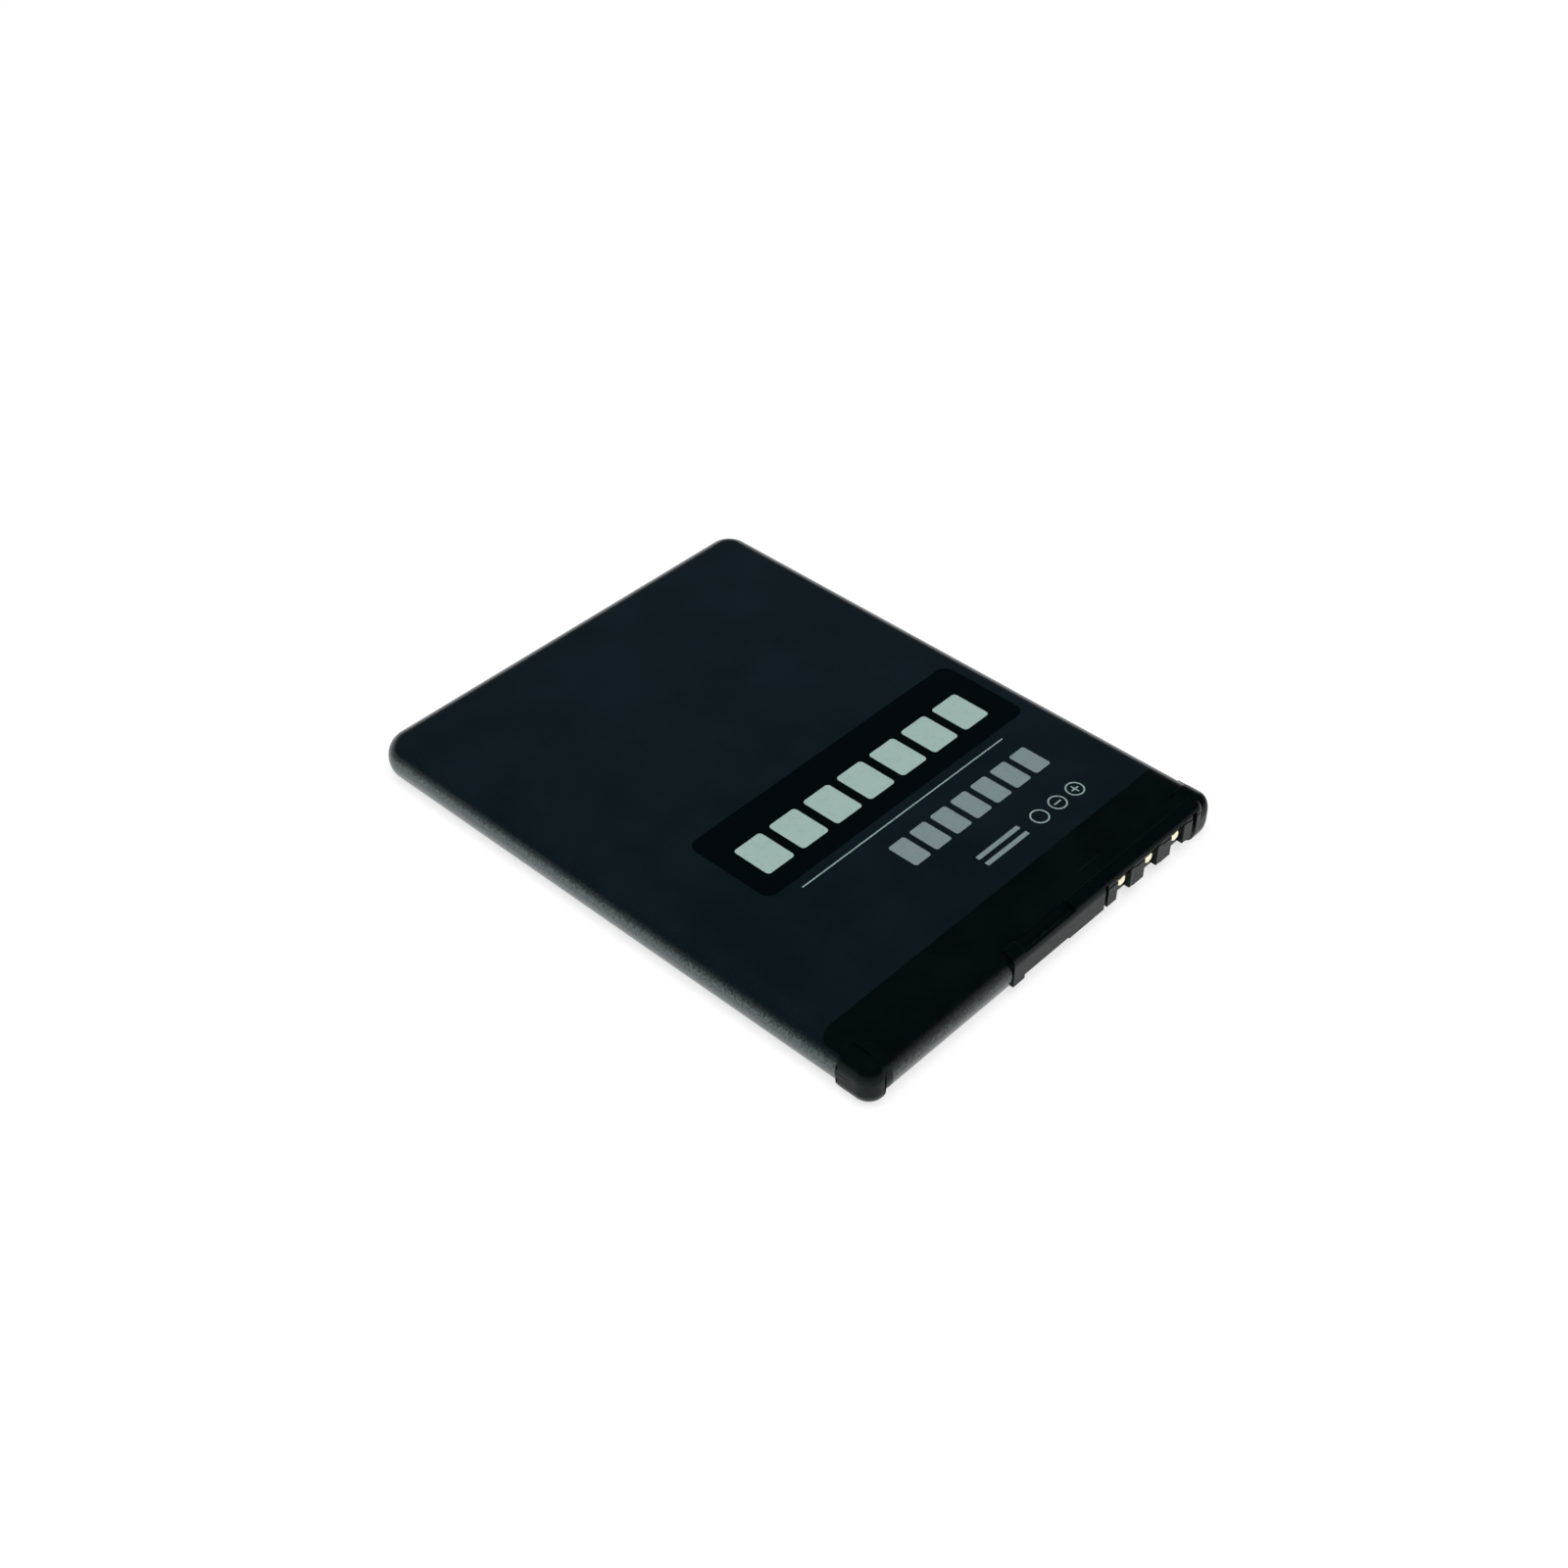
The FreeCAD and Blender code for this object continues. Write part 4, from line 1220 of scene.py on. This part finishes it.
@dataclass(frozen=True)
class SoftBox:
    """One square area lamp that faces the pack."""

    name: str
    azimuth: float
    elevation: float
    distance: float
    side: float
    power: float
    in_gloss: bool = True

    def build(self) -> None:
        """Makes the lamp on a sphere round the pack and turns it to the middle."""
        data = bpy.data.lights.new(self.name, "AREA")
        data.shape = "SQUARE"
        data.size = self.side
        data.energy = self.power
        lamp = bpy.data.objects.new(self.name, data)
        back = direction(self.azimuth, self.elevation)
        lamp.location = back * self.distance
        lamp.rotation_euler = (-back).to_track_quat("-Z", "Y").to_euler()
        lamp.visible_glossy = self.in_gloss
        bpy.context.collection.objects.link(lamp)


@dataclass(frozen=True)
class Studio:
    """A white sweep that rises at its rim, soft lamps and a dim room."""

    floor_radius: float = 1.5
    rim_height: float = 0.30
    rim_reach: float = 0.5
    rings: int = 24
    spokes: int = 96
    white: float = 0.32
    glow: float = 0.72
    room: float = 0.022
    lamps: tuple[SoftBox, ...] = (
        SoftBox("overhead", 130.0, 78.0, 1.1, 0.9, 11.0, False),
        SoftBox("front", 160.0, 50.0, 1.2, 0.7, 4.0, False),
        SoftBox("side", 60.0, 40.0, 1.2, 0.6, 2.0, False),
    )
    camera: CameraPlace = field(default_factory=CameraPlace)

    def floor_material(self) -> bpy.types.Material:
        """White paper, a little brighter to a camera, glossy or transmission ray, so that it reads as white.

        Returns:
            The material.
        """
        graph = Graph("white_sweep")
        fibre = graph.ramp(graph.noise(40.0, 3.0), 0.2, 0.8, self.white - 0.01, self.white + 0.01)
        paper = graph.add("ShaderNodeBsdfDiffuse")
        graph.feed(paper.inputs["Color"], fibre)
        rays = graph.add("ShaderNodeLightPath").outputs
        seen = graph.math("MAXIMUM", rays["Is Camera Ray"], rays["Is Glossy Ray"])
        seen = graph.math("MAXIMUM", seen, rays["Is Transmission Ray"])
        light = graph.add("ShaderNodeEmission")
        graph.feed(light.inputs["Strength"], graph.math("MULTIPLY", seen, self.glow))
        both = graph.add("ShaderNodeAddShader")
        graph.feed(both.inputs[0], paper.outputs[0])
        graph.feed(both.inputs[1], light.outputs[0])
        graph.feed(graph.add("ShaderNodeOutputMaterial").inputs["Surface"], both.outputs[0])
        return graph.material

    def floor(self) -> bpy.types.Object:
        """The sweep as a surface of revolution: flat to the rim, then a quarter of an ellipse up.

        Returns:
            The floor.
        """
        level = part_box("label_wrap")[0].z
        flat = np.linspace(0.01, 1.0, self.rings // 2) ** 1.5 * self.floor_radius
        curve = np.linspace(0.0, math.pi / 2, self.rings - self.rings // 2 + 1)[1:]
        radius = np.concatenate([flat, self.floor_radius + self.rim_reach * np.sin(curve)])
        height = np.concatenate([np.zeros_like(flat), self.rim_height * (1 - np.cos(curve))]) + level
        turn = np.linspace(0.0, 2 * math.pi, self.spokes, endpoint=False)
        grid = np.stack([np.outer(radius, np.cos(turn)), np.outer(radius, np.sin(turn)),
                         np.repeat(height[:, None], self.spokes, 1)], -1).reshape(-1, 3)
        quads = ring_quads(self.rings, self.spokes)[:, [0, 3, 2, 1]]
        mesh = bpy.data.meshes.new("floor")
        mesh.from_pydata(grid.tolist(), [], quads.tolist() + [list(range(self.spokes))])
        mesh.shade_smooth()
        floor = bpy.data.objects.new("floor", mesh)
        bpy.context.collection.objects.link(floor)
        dress(floor, self.floor_material())
        return floor

    def build(self) -> None:
        """Makes the floor, the lamps, the dim room and the camera, and sets the plain view."""
        self.floor()
        for lamp in self.lamps:
            lamp.build()
        world = bpy.data.worlds.new("room")
        world.use_nodes = True
        sky = next(node for node in world.node_tree.nodes if node.type == "BACKGROUND")
        sky.inputs["Color"].default_value = (1.0, 1.0, 1.0, 1.0)
        sky.inputs["Strength"].default_value = self.room
        bpy.context.scene.world = world
        bpy.context.scene.view_settings.view_transform = "Standard"
        self.camera.build()
        LOG.info("studio: floor, %d lamps and camera", len(self.lamps))


def main() -> None:
    """Dresses the pack and sets up the studio."""
    logging.basicConfig(level=logging.INFO, format="%(name)s: %(message)s")
    for build in (outer_films, end_cap, cell_stack, protection_board):
        build().dress()
    EndFittings().build()
    Studio().build()


if __name__ == "__main__":
    main()
